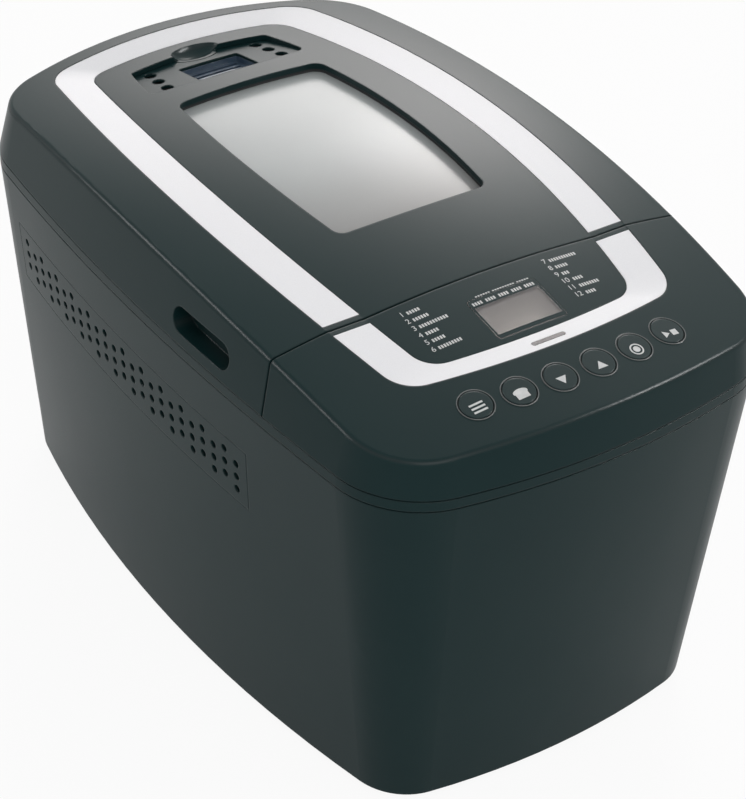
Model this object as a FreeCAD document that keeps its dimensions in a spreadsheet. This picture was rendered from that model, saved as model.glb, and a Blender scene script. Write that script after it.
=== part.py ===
import FreeCAD, Part
import math
import os
import re

import Sketcher

# A horizontal-loaf bread machine. X runs across, the control panel faces -Y, Z is up.
# The origin lies on the table under the middle of the machine. All sizes are millimetres.
SIZES = {
    # Heights, from the table up.
    "foot_height": 5,
    "body_height": 180.3,
    "seam_gap": 0.6,
    "deck_height": 5.1,
    "lid_gap": 0.6,
    "crown_height": 45.4,
    "form_height": 50.4,
    # Plan outline of the body where it meets the base.
    "base_half_width": 110.8,
    "base_half_length": 181.3,
    "base_side_radius": 710,
    "base_front_radius": 380,
    "base_rear_radius": 380,
    "base_corner_radius": 30,
    "base_centre": 0,
    # Plan outline at the seam under the lid.
    "seam_half_width": 120,
    "seam_half_length": 195,
    "seam_side_radius": 1480,
    "seam_front_radius": 390,
    "seam_rear_radius": 390,
    "seam_corner_radius": 45,
    "seam_centre": 0,
    # Plan outline that the lid and panel walls lean in to.
    "brow_half_width": 114.4,
    "brow_half_length": 186.5,
    "brow_side_radius": 1018,
    "brow_front_radius": 307,
    "brow_rear_radius": 215,
    "brow_corner_radius": 32,
    "brow_centre": 0,
    # The crowned top: its two radii and where it is highest.
    "crown_cross_radius": 690,
    "crown_length_radius": 924,
    "crown_centre": 19,
    "crown_reach": 140,
    "crown_depth": 80,
    "crown_sweep": 30,
    "edge_radius": 3,
    # The sunk top inside the trim, which falls away faster lengthways.
    "inner_length_radius": 843,
    "inner_centre": 12,
    "inner_sink": 0.3,
    # Walls and general fits.
    "wall": 2.5,
    "fit_gap": 0.2,
    "seat_gap": 0.1,
    "running_gap": 0.05,
    "moving_gap": 0.4,
    "roof_drop": 5.4,
    # The line that parts the lid from the control panel.
    "split_line": -96,
    "split_gap": 1.0,
    # The bright trim ring, which slopes down from its outer outline to the dark field inside it.
    "trim_half_width": 90.8,
    "trim_half_length": 164.9,
    "trim_side_radius": 800,
    "trim_front_radius": 316,
    "trim_rear_radius": 285,
    "trim_corner_radius": 18,
    "trim_centre": 13.5,
    "field_half_width": 71.2,
    "field_half_length": 152.6,
    "field_side_radius": 780,
    "field_front_radius": 335,
    "field_rear_radius": 290,
    "field_corner_radius": 14,
    "field_centre": 12.9,
    "field_drop": 2.2,
    "trim_drop": 0.2,
    "trim_thickness": 1.4,
    "trim_depth": 10,
    "trim_stop": 3.5,
    # The lid window.
    "window_half_width": 46.5,
    "window_half_length": 72.5,
    "window_side_radius": 544,
    "window_front_radius": 900,
    "window_rear_radius": 900,
    "window_corner_radius": 6,
    "window_centre": 28.5,
    "gasket_lap": 4,
    "gasket_thickness": 1.5,
    "glass_thickness": 3,
    # The steam vent behind the window, and the thumb dish behind that.
    "vent_half_width": 50,
    "vent_half_length": 18,
    "vent_side_radius": 400,
    "vent_side_centre": 60,
    "vent_front_radius": 300,
    "vent_rear_radius": 230,
    "vent_corner_radius": 3.5,
    "vent_centre": 133.5,
    "vent_lap": 3,
    "vent_plate_thickness": 1.6,
    "steam_hole_radius": 3.1,
    "steam_hole_column": 32.8,
    "steam_hole_line": 134.5,
    "steam_hole_pitch": 9.5,
    "steam_hole_splay": 1.2,
    "screen_half_width": 17.5,
    "screen_half_length": 9.7,
    "screen_centre": 130.7,
    "screen_corner": 1.5,
    "screen_lap": 2.4,
    "screen_wall": 1,
    "screen_depth": 4,
    "screen_thickness": 1.2,
    "screen_slot_width": 2,
    "screen_slot_pitch": 4,
    "screen_slot_count": 4,
    "dish_centre": 152.5,
    "dish_half_width": 14.5,
    "dish_half_length": 7.5,
    "dish_depth": 5.2,
    "dish_wall": 1.6,
    # Finger grips in the two sides of the lid.
    "grip_centre": -46.5,
    "grip_length": 45,
    "grip_height": 14,
    "grip_level": 12.5,
    "grip_depth": 11,
    "grip_wall": 2,
    # The lid's inner cover: a dished sheet with a flange on four bosses.
    "liner_centre": 40,
    "liner_margin": 10,
    "liner_end_margin": 14,
    "liner_corner": 30,
    "liner_sheet": 1,
    "liner_rise": 17.2,
    "liner_level": 4.4,
    "liner_flange": 14,
    "liner_boss_offset": 100,
    "boss_radius": 4.5,
    "screw_radius": 1.5,
    "screw_head_radius": 3.2,
    "screw_head_height": 1.6,
    "screw_depth": 9,
    "screw_tip_gap": 1,
    # Hinge at the back edge of the deck.
    "hinge_line": 188.5,
    "hinge_level": 6,
    "rail_radius": 8,
    "rail_half_width": 75,
    "rail_inset": 0.8,
    "hinge_gap": 0.6,
    "knuckle_radius": 5,
    "knuckle_place": 30,
    "knuckle_width": 12,
    "lug_depth": 7.5,
    "pin_radius": 2,
    "pin_reach": 7,
    # Top deck.
    "deck_skin": 2.5,
    "cable_hatch_half_width": 30,
    "cable_hatch_half_length": 12,
    "cable_hatch_centre": -143,
    # Control panel.
    "button_radius": 7.5,
    "button_gap": 0.4,
    "button_pitch": 21.1,
    "button_arc_radius": 330,
    "button_line": -168.8,
    "button_proud": 0.3,
    "button_flange": 1.2,
    "button_flange_thickness": 1,
    "button_travel": 0.8,
    "lens_half_width": 19,
    "lens_half_length": 13,
    "lens_corner": 2,
    "lens_centre": -123,
    "lens_thickness": 2,
    "indicator_half_width": 9,
    "indicator_half_length": 1.2,
    "indicator_centre": -146.3,
    "indicator_depth": 5.6,
    "panel_boss_column": 92,
    "panel_boss_front": -158,
    "panel_boss_rear": -112,
    "board_half_width": 74,
    "board_front": -178,
    "board_rear": -104,
    "board_thickness": 1.6,
    "board_standoff": 9,
    "post_column": 67,
    "post_inset": 7,
    "post_radius": 4,
    "switch_size": 6,
    "switch_height": 3.4,
    "plunger_radius": 1.75,
    "plunger_height": 0.4,
    "display_half_width": 23,
    "display_half_length": 16,
    "display_height": 15.5,
    # Base.
    "plate_thickness": 3,
    "foot_radius": 11,
    "foot_column": 78,
    "foot_row": 140,
    "foot_peg_radius": 4,
    "foot_chamfer": 1,
    "base_slot_length": 44,
    "base_slot_width": 4,
    "base_slot_pitch": 10,
    "base_slot_count": 6,
    # Side grilles.
    "grille_front": -82.5,
    "grille_rear": 139,
    "grille_low": 128.5,
    "grille_height": 33,
    "grille_hole_radius": 2,
    "grille_column_pitch": 8.9,
    "grille_row_pitch": 7.3,
    "grille_columns": 24,
    "grille_rows": 3,
    # Chassis, baking chamber and heater.
    "chassis_level": 30,
    "chassis_thickness": 2,
    "chassis_lip": 8,
    "chassis_half_width": 72,
    "chassis_front": -168,
    "chassis_rear": 150,
    "chassis_post_radius": 6,
    "chassis_post_column": 62,
    "chassis_post_inset": 10,
    "chamber_clearance": 12,
    "chamber_corner": 25,
    "chamber_centre": 40,
    "chamber_sheet": 1.2,
    "chamber_flange": 7,
    "chamber_gap": 1,
    "heater_level": 16,
    "heater_tube_radius": 3.2,
    "heater_inset": 10,
    "heater_bend": 22,
    "heater_leg_place": 12,
    "heater_leg_bend": 8,
    "heater_leg_length": 18,
    "bushing_radius": 7,
    "bushing_neck": 4.8,
    "bushing_length": 4,
    "sensor_radius": 4,
    "sensor_flange": 8,
    "sensor_level": 68,
    "sensor_reach": 5,
    "sensor_tail": 9,
    # Drive train.
    "motor_line": -125,
    "motor_radius": 34,
    "motor_height": 66,
    "motor_chamfer": 2.5,
    "motor_neck_radius": 10,
    "motor_neck_height": 6,
    "spindle_radius": 4,
    "belt_level": 12,
    "belt_width": 10,
    "belt_thickness": 2.4,
    "belt_gap": 0.35,
    "pulley_lip": 1.5,
    "pulley_lip_height": 1.5,
    "motor_pulley_radius": 8,
    "drive_pulley_radius": 40,
    "pulley_hub_radius": 10,
    "pulley_web": 4,
    "pulley_rim": 5,
    "fan_radius": 30,
    "fan_hub_radius": 9,
    "fan_height": 8,
    "fan_blades": 8,
    "fan_blade_thickness": 1.5,
    "bearing_radius": 12,
    "bearing_flange": 20,
    "bearing_flange_thickness": 3,
    "bearing_rise": 6,
    "coupling_radius": 16,
    "coupling_disc": 5,
    "coupling_hub_gap": 1.5,
    "dog_height": 6.5,
    "dog_width": 8,
    "dog_inner": 8,
    "dog_inset": 1,
    # Bread pan and what is on it.
    "pan_half_width": 68,
    "pan_half_length": 92,
    "pan_taper": 6,
    "pan_corner": 22,
    "pan_sheet": 1.5,
    "pan_floor": 30,
    "pan_height": 113,
    "pan_lip": 3,
    "pan_lip_height": 2,
    "pan_foot_radius": 42,
    "pan_foot_wall": 3,
    "pan_bearing_radius": 10,
    "pan_bearing_rise": 5,
    "paddle_hub_radius": 10,
    "paddle_hub_height": 24,
    "paddle_hub_taper": 2.5,
    "paddle_cap": 2.5,
    "paddle_reach": 46,
    "paddle_blade_thickness": 6,
    "paddle_blade_height": 20,
    "paddle_tip_height": 6.7,
    "bracket_half_width": 12,
    "bracket_sheet": 2,
    "bracket_rise": 8,
    "bracket_drop": 20,
    "bracket_gap": 0.3,
    "bail_radius": 2.5,
    "bail_reach": 64,
    "bail_bend": 14,
    "bail_stub_bend": 3,
    "clip_width": 16,
    "clip_sheet": 1.2,
    "clip_height": 14,
    "clip_foot": 12,
    # Power board in front of the chamber, and the mains inlet.
    "power_half_width": 55,
    "power_place": -161,
    "power_height": 70,
    "transformer_column": -31,
    "transformer_width": 36,
    "transformer_depth": 28,
    "transformer_height": 32,
    "relay_column": 32,
    "relay_width": 16,
    "relay_depth": 16,
    "relay_height": 28,
    "capacitor_column": 8,
    "capacitor_radius": 6,
    "capacitor_length": 20,
    "capacitor_pitch": 14,
    "inlet_place": -60,
    "inlet_level": 30,
    "inlet_radius": 9,
    "inlet_bore": 4,
    "inlet_flange": 4,
    "inlet_neck_length": 8,
    "inlet_setback": 6,
    "inlet_neck": 6.5,
}

# Levels that several pieces share, as expressions of the sizes.
BODY_TOP = "(foot_height + body_height)"
DECK_LOW = f"({BODY_TOP} + seam_gap)"
DECK_TOP = f"({DECK_LOW} + deck_height)"
LID_LOW = f"({DECK_TOP} + lid_gap)"
CROWN_TOP = f"({LID_LOW} + crown_height)"
INNER_TOP = f"({CROWN_TOP} - inner_sink)"
PLATE_TOP = "(foot_height + plate_thickness)"
CHASSIS_TOP = "(chassis_level + chassis_thickness)"
CHAMBER_FLOOR = f"({CHASSIS_TOP} + chamber_sheet)"
HINGE_LEVEL = f"({DECK_TOP} + hinge_level)"
CHAMBER_HALF_WIDTH = "(pan_half_width + chamber_clearance)"
CHAMBER_HALF_LENGTH = "(pan_half_length + chamber_clearance)"
LINER_HALF_WIDTH = f"({CHAMBER_HALF_WIDTH} + liner_margin)"
LINER_HALF_LENGTH = f"({CHAMBER_HALF_LENGTH} + liner_end_margin)"
LINER_BOSS_COLUMN = f"({LINER_HALF_WIDTH} + liner_flange / 2)"
LINER_LOW = f"({LID_LOW} + liner_level)"
LINER_TOP = f"({LINER_LOW} + liner_sheet + liner_rise)"
BOARD_LOW = f"({DECK_TOP} + board_standoff)"
BOARD_TOP = f"({BOARD_LOW} + board_thickness)"
BUTTON_LOW = f"({BOARD_TOP} + switch_height + plunger_height + button_travel + moving_gap)"
PAN_FLOOR = f"({CHAMBER_FLOOR} + pan_floor)"
PAN_TOP = f"({PAN_FLOOR} + pan_height)"
BAIL_LEVEL = f"({PAN_TOP} + bail_radius + bracket_gap)"
BRACKET_PLACE = "(pan_half_length + pan_lip + bracket_gap)"
BELT_LOW = "(belt_level + pulley_lip_height)"
COUPLING_LOW = f"({CHASSIS_TOP} + bearing_rise + coupling_hub_gap)"
DOGS_LOW = f"({COUPLING_LOW} + coupling_disc)"
PAN_DOGS_LOW = f"({DOGS_LOW} + coupling_hub_gap)"
PAN_COUPLING_LOW = f"({PAN_DOGS_LOW} + dog_height)"
GASKET_DROP = "(roof_drop + seat_gap)"
GLASS_DROP = f"({GASKET_DROP} + gasket_thickness + seat_gap)"
TUNNEL_DROP = f"({GLASS_DROP} + glass_thickness + moving_gap)"
TRIM_SEAT = "(field_drop + trim_thickness + seat_gap)"
VENT_DROP = "(roof_drop + seat_gap)"
LID_FRONT = "(split_line + split_gap / 2)"
PANEL_REAR = "(split_line - split_gap / 2)"
FAR = "2 * seam_half_length"

doc = FreeCAD.newDocument("BreadMachine")
sheet = doc.addObject("Spreadsheet::Sheet", "Sizes")
for row, (alias, value) in enumerate(SIZES.items(), start=1):
    sheet.set(f"A{row}", alias)
    sheet.set(f"B{row}", str(value))
    sheet.setAlias(f"B{row}", alias)
doc.recompute()

WORD = re.compile(r"[a-z_][a-z0-9_]*")
NODES = {}
CROWNS = {}


def tie(expression):
    """The expression with each size named as a cell of the sheet."""
    return WORD.sub(lambda word: f"Sizes.{word[0]}" if word[0] in SIZES else word[0], expression)


def number(expression):
    return float(sheet.evalExpression(tie(expression)))


def bind(item, **ties):
    for name, expression in ties.items():
        item.setExpression(name, tie(expression))


def place(item, x="0", y="0", z="0"):
    for axis, expression in (("x", x), ("y", y), ("z", z)):
        item.setExpression(f"Placement.Base.{axis}", tie(expression))
    return item


def turn(item, axis, angle):
    item.Placement.Rotation = FreeCAD.Rotation(axis, angle)
    return item


def node(label, item):
    item.Label = label
    NODES[label] = item
    return item


# Sketches: every curve is fixed by dimensions tied to the sheet.

def new_body(name):
    return doc.addObject("PartDesign::Body", name)


def new_sketch(body, role="XY_Plane", offset="0"):
    plane = next(item for item in body.Origin.OriginFeatures if item.Role == role)
    sketch = body.newObject("Sketcher::SketchObject", f"{body.Name}_sketch")
    sketch.AttachmentSupport = [(plane, "")]
    sketch.MapMode = "FlatFace"
    sketch.setExpression("AttachmentOffset.Base.z", tie(offset))
    return sketch


def dimension(sketch, kind, where, expression):
    index = sketch.addConstraint(Sketcher.Constraint(kind, *where, number(expression)))
    sketch.setExpression(f"Constraints[{index}]", tie(expression))


def fix_point(sketch, where, x, y):
    dimension(sketch, "DistanceX", where, x)
    dimension(sketch, "DistanceY", where, y)


def vector(x, y):
    return FreeCAD.Vector(x, y, 0)


def arc_between(centre, radius, start, end):
    """An anticlockwise arc about centre from the direction of start to that of end."""
    angles = [math.atan2(point.y - centre.y, point.x - centre.x) for point in (start, end)]
    circle = Part.Circle(centre, FreeCAD.Vector(0, 0, 1), radius)
    return Part.ArcOfCircle(circle, angles[0], angles[1])


def draw_circle(sketch, radius, x="0", y="0"):
    circle = Part.Circle(vector(number(x), number(y)), FreeCAD.Vector(0, 0, 1), number(radius))
    index = sketch.addGeometry(circle)
    fix_point(sketch, (index, 3), x, y)
    dimension(sketch, "Radius", (index,), radius)


def draw_polygon(sketch, corners):
    points = [vector(number(x), number(y)) for x, y in corners]
    first = sketch.GeometryCount
    count = len(points)
    for index, point in enumerate(points):
        sketch.addGeometry(Part.LineSegment(point, points[(index + 1) % count]))
    for index, (x, y) in enumerate(corners):
        following = first + (index + 1) % count
        sketch.addConstraint(Sketcher.Constraint("Coincident", first + index, 2, following, 1))
        fix_point(sketch, (first + index, 1), x, y)


def close_with_tangents(sketch, first, count):
    for index in range(count):
        following = first + (index + 1) % count
        sketch.addConstraint(Sketcher.Constraint("Tangent", first + index, 2, following, 1))


def draw_round_rectangle(sketch, half_width, half_length, corner, x="0", y="0"):
    """A rectangle with round corners about the point x, y."""
    across, along = number(f"{half_width} - ({corner})"), number(f"{half_length} - ({corner})")
    radius = number(corner)
    middle = vector(number(x), number(y))
    signs = ((1, 1), (-1, 1), (-1, -1), (1, -1))
    steps = (vector(1, 0), vector(0, 1), vector(-1, 0), vector(0, -1))
    first = sketch.GeometryCount
    for index, (side, end) in enumerate(signs):
        centre = middle + vector(side * across, end * along)
        start, stop = centre + steps[index] * radius, centre + steps[(index + 1) % 4] * radius
        next_side, next_end = signs[(index + 1) % 4]
        next_centre = middle + vector(next_side * across, next_end * along)
        sketch.addGeometry(arc_between(centre, radius, start, stop))
        sketch.addGeometry(Part.LineSegment(stop, next_centre + steps[(index + 1) % 4] * radius))
    close_with_tangents(sketch, first, 8)
    for index, (side, end) in enumerate(signs):
        arc = first + 2 * index
        fix_point(sketch, (arc, 3), f"{x} + {side} * ({half_width} - ({corner}))",
                  f"{y} + {end} * ({half_length} - ({corner}))")
        dimension(sketch, "Radius", (arc,), corner)


def corner_centre(side, side_reach, end, end_reach, towards):
    """The point at two given distances from two arc centres, on the given side of them."""
    apart = end - side
    along = (side_reach ** 2 - end_reach ** 2 + apart.Length ** 2) / (2 * apart.Length)
    out = math.sqrt(side_reach ** 2 - along ** 2)
    foot = side + apart * (along / apart.Length)
    across = vector(apart.y, -apart.x) * (out / apart.Length)
    return max((foot + across, foot - across), key=lambda point: point.dot(towards))


def draw_outline(sketch, group, inset="0"):
    """A plan outline of four bowed sides and four round corners, drawn in by inset."""
    size = {part: f"({group}_{part} - ({inset}))" for part in (
        "half_width", "half_length", "side_radius", "front_radius", "rear_radius", "corner_radius")}
    middle = f"{group}_centre"
    side_middle = f"{group}_side_centre" if f"{group}_side_centre" in SIZES else middle
    side_offset = f"({size['half_width']} - {size['side_radius']})"
    arcs = [
        (side_offset, side_middle, size["side_radius"]),
        ("0", f"{middle} + {size['half_length']} - {size['rear_radius']}", size["rear_radius"]),
        (f"-{side_offset}", side_middle, size["side_radius"]),
        ("0", f"{middle} - {size['half_length']} + {size['front_radius']}", size["front_radius"]),
    ]
    centres = [vector(number(x), number(y)) for x, y, radius in arcs]
    reaches = [number(radius) for x, y, radius in arcs]
    corner = number(size["corner_radius"])
    directions = (vector(1, 1), vector(-1, 1), vector(-1, -1), vector(1, -1))
    corners = [corner_centre(centres[index], reaches[index] - corner, centres[(index + 1) % 4],
                             reaches[(index + 1) % 4] - corner, directions[index])
               for index in range(4)]
    meets = []
    for index in range(4):
        for arc in (index, (index + 1) % 4):
            outward = (corners[index] - centres[arc]).normalize()
            meets.append(centres[arc] + outward * reaches[arc])
    first = sketch.GeometryCount
    for index in range(4):
        start, end = meets[2 * index - 1], meets[2 * index]
        sketch.addGeometry(arc_between(centres[index], reaches[index], start, end))
        sketch.addGeometry(arc_between(corners[index], corner, end, meets[2 * index + 1]))
    close_with_tangents(sketch, first, 8)
    for index, (x, y, radius) in enumerate(arcs):
        fix_point(sketch, (first + 2 * index, 3), x, y)
        dimension(sketch, "Radius", (first + 2 * index,), radius)
        dimension(sketch, "Radius", (first + 2 * index + 1,), size["corner_radius"])


# Solids.

def pad(body, sketch, length):
    feature = body.newObject("PartDesign::Pad", f"{body.Name}_pad")
    feature.Profile = sketch
    bind(feature, Length=length)
    return feature


def in_row(body, role, count, span):
    """A row of copies along one of the body's axes."""
    row = body.newObject("PartDesign::LinearPattern", f"{body.Name}_row")
    row.Direction = (next(item for item in body.Origin.OriginFeatures if item.Role == role), [""])
    bind(row, Occurrences=count, Length=span)
    return row


def prism(name, draw, bottom, height, role="XY_Plane"):
    """Whatever draw puts in a sketch, raised from bottom by height."""
    body = new_body(name)
    sketch = new_sketch(body, role, bottom)
    draw(sketch)
    pad(body, sketch, height)
    return body


def turned(name, profile, x="0", y="0", z="0"):
    """A solid of revolution about an upright axis, from its radius and level at each corner."""
    body = new_body(name)
    sketch = new_sketch(body, "XZ_Plane")
    draw_polygon(sketch, profile)
    feature = body.newObject("PartDesign::Revolution", f"{name}_revolution")
    feature.Profile = sketch
    feature.ReferenceAxis = (sketch, ["V_Axis"])
    return place(body, x, y, z)


def ring(inner, outer, low, high):
    """The profile of a plain ring or bush."""
    return [(inner, low), (outer, low), (outer, high), (inner, high)]


def block(name, x, y, z):
    """A box from three pairs of limits."""
    item = doc.addObject("Part::Box", name)
    bind(item, Length=f"{x[1]} - ({x[0]})", Width=f"{y[1]} - ({y[0]})", Height=f"{z[1]} - ({z[0]})")
    return place(item, x[0], y[0], z[0])


def rod(name, radius, length, x="0", y="0", z="0", axis=None):
    """A cylinder from the given point, upright or along X or Y."""
    item = doc.addObject("Part::Cylinder", name)
    bind(item, Radius=radius, Height=length)
    if axis == "X":
        turn(item, FreeCAD.Vector(0, 1, 0), 90)
    if axis == "Y":
        turn(item, FreeCAD.Vector(1, 0, 0), -90)
    return place(item, x, y, z)


def gather(kind, name, shapes):
    item = doc.addObject(kind, name)
    item.Shapes = list(shapes)
    return item


def fuse(name, *shapes):
    return gather("Part::MultiFuse", name, shapes)


def common(name, *shapes):
    return gather("Part::MultiCommon", name, shapes)


def cut(name, base, *tools):
    item = doc.addObject("Part::Cut", name)
    item.Base = base
    item.Tool = tools[0] if len(tools) == 1 else fuse(f"{name}_tools", *tools)
    return item


def group_of(name, shapes):
    item = doc.addObject("Part::Compound", name)
    item.Links = list(shapes)
    return item


def mirrored(name, source):
    item = doc.addObject("Part::Mirroring", name)
    item.Source = source
    item.Normal = FreeCAD.Vector(1, 0, 0)
    return item


def join_sections(body, sections):
    feature = body.newObject("PartDesign::AdditiveLoft", f"{body.Name}_loft")
    feature.Profile = sections[0]
    feature.Sections = [sections[1]]
    feature.Ruled = True
    return body


def loft(name, low, low_level, high, high_level, inset="0"):
    """A straight-sided loft from one plan outline up to another."""
    body = new_body(name)
    sections = []
    for group, level in ((low, low_level), (high, high_level)):
        sketch = new_sketch(body, "XY_Plane", level)
        draw_outline(sketch, group, inset)
        sections.append(sketch)
    return join_sections(body, sections)


FORMS = {
    "outer": (CROWN_TOP, "crown_length_radius", "crown_centre"),
    "inner": (INNER_TOP, "inner_length_radius", "inner_centre"),
}


def crown(drop, form="inner"):
    """The space under a crowned top lowered by drop: an arc across, swept along a longer arc."""
    if (drop, form) in CROWNS:
        return CROWNS[drop, form]
    top, length_radius, centre = FORMS[form]
    body = new_body(f"Crown{len(CROWNS)}")
    sketch = new_sketch(body, "XZ_Plane", f"-{centre}")
    radius = f"(crown_cross_radius - ({drop}))"
    middle = f"({top} - crown_cross_radius)"
    low = number(f"{CROWN_TOP} - crown_depth")
    reach = number("crown_reach")
    half_angle = math.asin(reach / number(radius))
    circle = Part.Circle(vector(0, number(middle)), FreeCAD.Vector(0, 0, 1), number(radius))
    arc = Part.ArcOfCircle(circle, math.pi / 2 - half_angle, math.pi / 2 + half_angle)
    corners = [arc.EndPoint, vector(-reach, low), vector(reach, low), arc.StartPoint]
    sketch.addGeometry(arc)
    for index in range(3):
        sketch.addGeometry(Part.LineSegment(corners[index], corners[index + 1]))
    for index in range(4):
        following = (index + 1) % 4
        sketch.addConstraint(Sketcher.Constraint("Coincident", index, 2, following, 1))
    fix_point(sketch, (0, 3), "0", middle)
    dimension(sketch, "Radius", (0,), radius)
    for index, side in ((2, "-crown_reach"), (3, "crown_reach")):
        fix_point(sketch, (index, 1), side, f"{CROWN_TOP} - crown_depth")
    dimension(sketch, "DistanceX", (0, 1), "crown_reach")
    dimension(sketch, "DistanceX", (0, 2), "-crown_reach")
    axis_level = f"({top} - {length_radius})"
    ends = [vector(side * reach, number(axis_level)) for side in (-1, 1)]
    axis = sketch.addGeometry(Part.LineSegment(*ends), True)
    fix_point(sketch, (axis, 1), "-crown_reach", axis_level)
    fix_point(sketch, (axis, 2), "crown_reach", axis_level)
    feature = body.newObject("PartDesign::Revolution", f"{body.Name}_revolution")
    feature.Profile = sketch
    feature.ReferenceAxis = (sketch, ["Axis0"])
    feature.Midplane = True
    bind(feature, Angle="crown_sweep")
    CROWNS[drop, form] = body
    return body


def above(name, shape, drop):
    """The part of shape above the inner crown lowered by drop."""
    return cut(name, shape, crown(drop))


def layer(name, shape, drop, thickness):
    """The sheet of shape between two parallel inner crowns."""
    return cut(name, common(f"{name}_top", shape, crown(drop)), crown(f"{drop} + {thickness}"))


def upright(name, draw):
    """A prism through the whole height of the lid and panel."""
    return prism(name, draw, LID_LOW, "form_height")


# The crowned form that the lid and the control panel are cut from, with its top edge rounded.
outer_form = loft("OuterForm", "seam", LID_LOW, "brow", f"{LID_LOW} + form_height")
inner_form = loft("InnerForm", "seam", LID_LOW, "brow", f"{LID_LOW} + form_height", "wall")
sharp_block = common("SharpBlock", outer_form, crown("0", "outer"))
doc.recompute()
rim = [index for index, edge in enumerate(sharp_block.Shape.Edges, start=1)
       if edge.BoundBox.ZMin > number(LID_LOW) + number("edge_radius")]
top_block = doc.addObject("Part::Fillet", "TopBlock")
top_block.Base = sharp_block
top_block.Edges = [(index, number("edge_radius"), number("edge_radius")) for index in rim]
inner_space = common("InnerSpace", inner_form, crown("roof_drop"))
field_space = upright("FieldSpace", lambda s: draw_outline(s, "field", "-2 * fit_gap"))
field_recess = above("FieldRecess", field_space, "field_drop")


def draw_trim_slot(sketch):
    draw_outline(sketch, "trim")
    draw_outline(sketch, "field")


trim_slot = upright("TrimSlot", draw_trim_slot)
trim_recess = above("TrimRecess", trim_slot, TRIM_SEAT)

# The trim's sloping face is ruled from its outer edge, on the outer crown, to its inner edge on the field.
trim_prism = upright("TrimPrism", lambda s: draw_outline(s, "trim", "fit_gap"))
trim_cap = common("TrimCap", trim_prism, crown("trim_drop", "outer"))
field_prism = upright("FieldPrism", lambda s: draw_outline(s, "field", "-fit_gap"))
field_cap = common("FieldCap", field_prism, crown("field_drop"))
doc.recompute()


def rim_edges(cap):
    """The edges of a cap's top round its rear, its left side and its front, in that order."""
    bearings = {}
    for index, edge in enumerate(cap.Shape.Edges, start=1):
        spot = edge.BoundBox.Center
        if edge.BoundBox.ZMin > number(LID_LOW) + number("edge_radius") and spot.x < number("fit_gap"):
            bearing = math.atan2(spot.y - number("trim_centre"), spot.x) % (2 * math.pi)
            bearings[bearing] = f"Edge{index}"
    return [bearings[bearing] for bearing in sorted(bearings)]


def extruded(name, face, direction):
    item = doc.addObject("Part::Extrusion", name)
    item.Base = face
    item.DirMode = "Custom"
    item.Dir = FreeCAD.Vector(0, 0, direction)
    item.Solid = True
    bind(item, LengthFwd="trim_depth")
    return item


trim_faces = []
for outer_edge, inner_edge in zip(rim_edges(trim_cap), rim_edges(field_cap)):
    face = doc.addObject("Part::RuledSurface", f"TrimFace{len(trim_faces)}")
    face.Curve1 = (trim_cap, [outer_edge])
    face.Curve2 = (field_cap, [inner_edge])
    trim_faces.append(face)
trim_ends = [extruded(f"{face.Name}_under", face, -1) for face in (trim_faces[0], trim_faces[4])]
trim_left = [extruded(f"{face.Name}_under", face, -1) for face in trim_faces[1:4]]
trim_right = [mirrored(f"{part.Name}_right", part) for part in trim_left]
trim_under = fuse("TrimUnder", *trim_ends, *trim_left, *trim_right)
trim_sheet = cut("TrimSheet", trim_under, crown("field_drop + trim_thickness"))
trim_air = extruded("TrimAir", trim_faces[2], 1)
doc.recompute()


def half_space(name, front, rear):
    """Everything from front to rear, over the full width and height of the top."""
    return block(name, (f"-{FAR}", FAR), (front, rear), ("0", f"2 * {CROWN_TOP}"))


# Lid cover: a hollow moulding, open below, with the window, the vent, the grips and the hinge lugs.
lid_solid = common("LidSolid", top_block, half_space("LidSpace", LID_FRONT, FAR))
lid_hollow = common("LidHollow", inner_space, half_space("LidInside", f"{LID_FRONT} + wall", FAR))
lid_trim_space = half_space("LidTrimSpace", "split_line + trim_stop", FAR)
lid_trim_recess = common("LidTrimRecess", trim_recess, lid_trim_space)
trim_airs = group_of("TrimAirs", [trim_air, mirrored("TrimAirRight", trim_air)])
trim_dip = common("TrimDip", trim_airs,
                  half_space("TrimDipSpace", "split_line - 2 * trim_stop", "split_line + 2 * trim_stop"))
window_hole = upright("WindowHole", lambda s: draw_outline(s, "window"))
vent_hole = upright("VentHole", lambda s: draw_outline(s, "vent"))
RAIL_SPACE = "(rail_half_width + moving_gap)"
hinge_clearance = rod("HingeClearance", "rail_radius + hinge_gap", f"2 * {RAIL_SPACE}",
                      f"-{RAIL_SPACE}", "hinge_line", HINGE_LEVEL, axis="X")
hinge_notch = block("HingeNotch", (f"-{RAIL_SPACE}", RAIL_SPACE),
                    ("hinge_line - rail_radius", FAR), ("0", HINGE_LEVEL))

GRIP_BOTTOM = "(-seam_half_width + grip_depth)"
GRIP_MIDDLE = f"({LID_LOW} + grip_level)"
GRIP_REACH = "(grip_length / 2 + grip_wall)"
GRIP_RISE = "(grip_height / 2 + grip_wall)"
grip_stock = block("GripStock", ("-seam_half_width", f"{GRIP_BOTTOM} + grip_wall"),
                   (f"grip_centre - {GRIP_REACH}", f"grip_centre + {GRIP_REACH}"),
                   (f"{GRIP_MIDDLE} - {GRIP_RISE}", f"{GRIP_MIDDLE} + {GRIP_RISE}"))
grip_cup = common("GripCup", grip_stock, lid_solid)
grip_slot = prism("GripSlot", lambda s: draw_round_rectangle(
    s, "grip_length / 2", "grip_height / 2", "grip_height / 2 - seat_gap", "grip_centre", GRIP_MIDDLE),
    "-seam_half_width - wall", "grip_depth + wall", "YZ_Plane")


def knuckle_start(side):
    """Where the lug on this side begins, along X."""
    return f"({side} * (knuckle_place + knuckle_width / 2) - knuckle_width / 2)"


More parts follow.
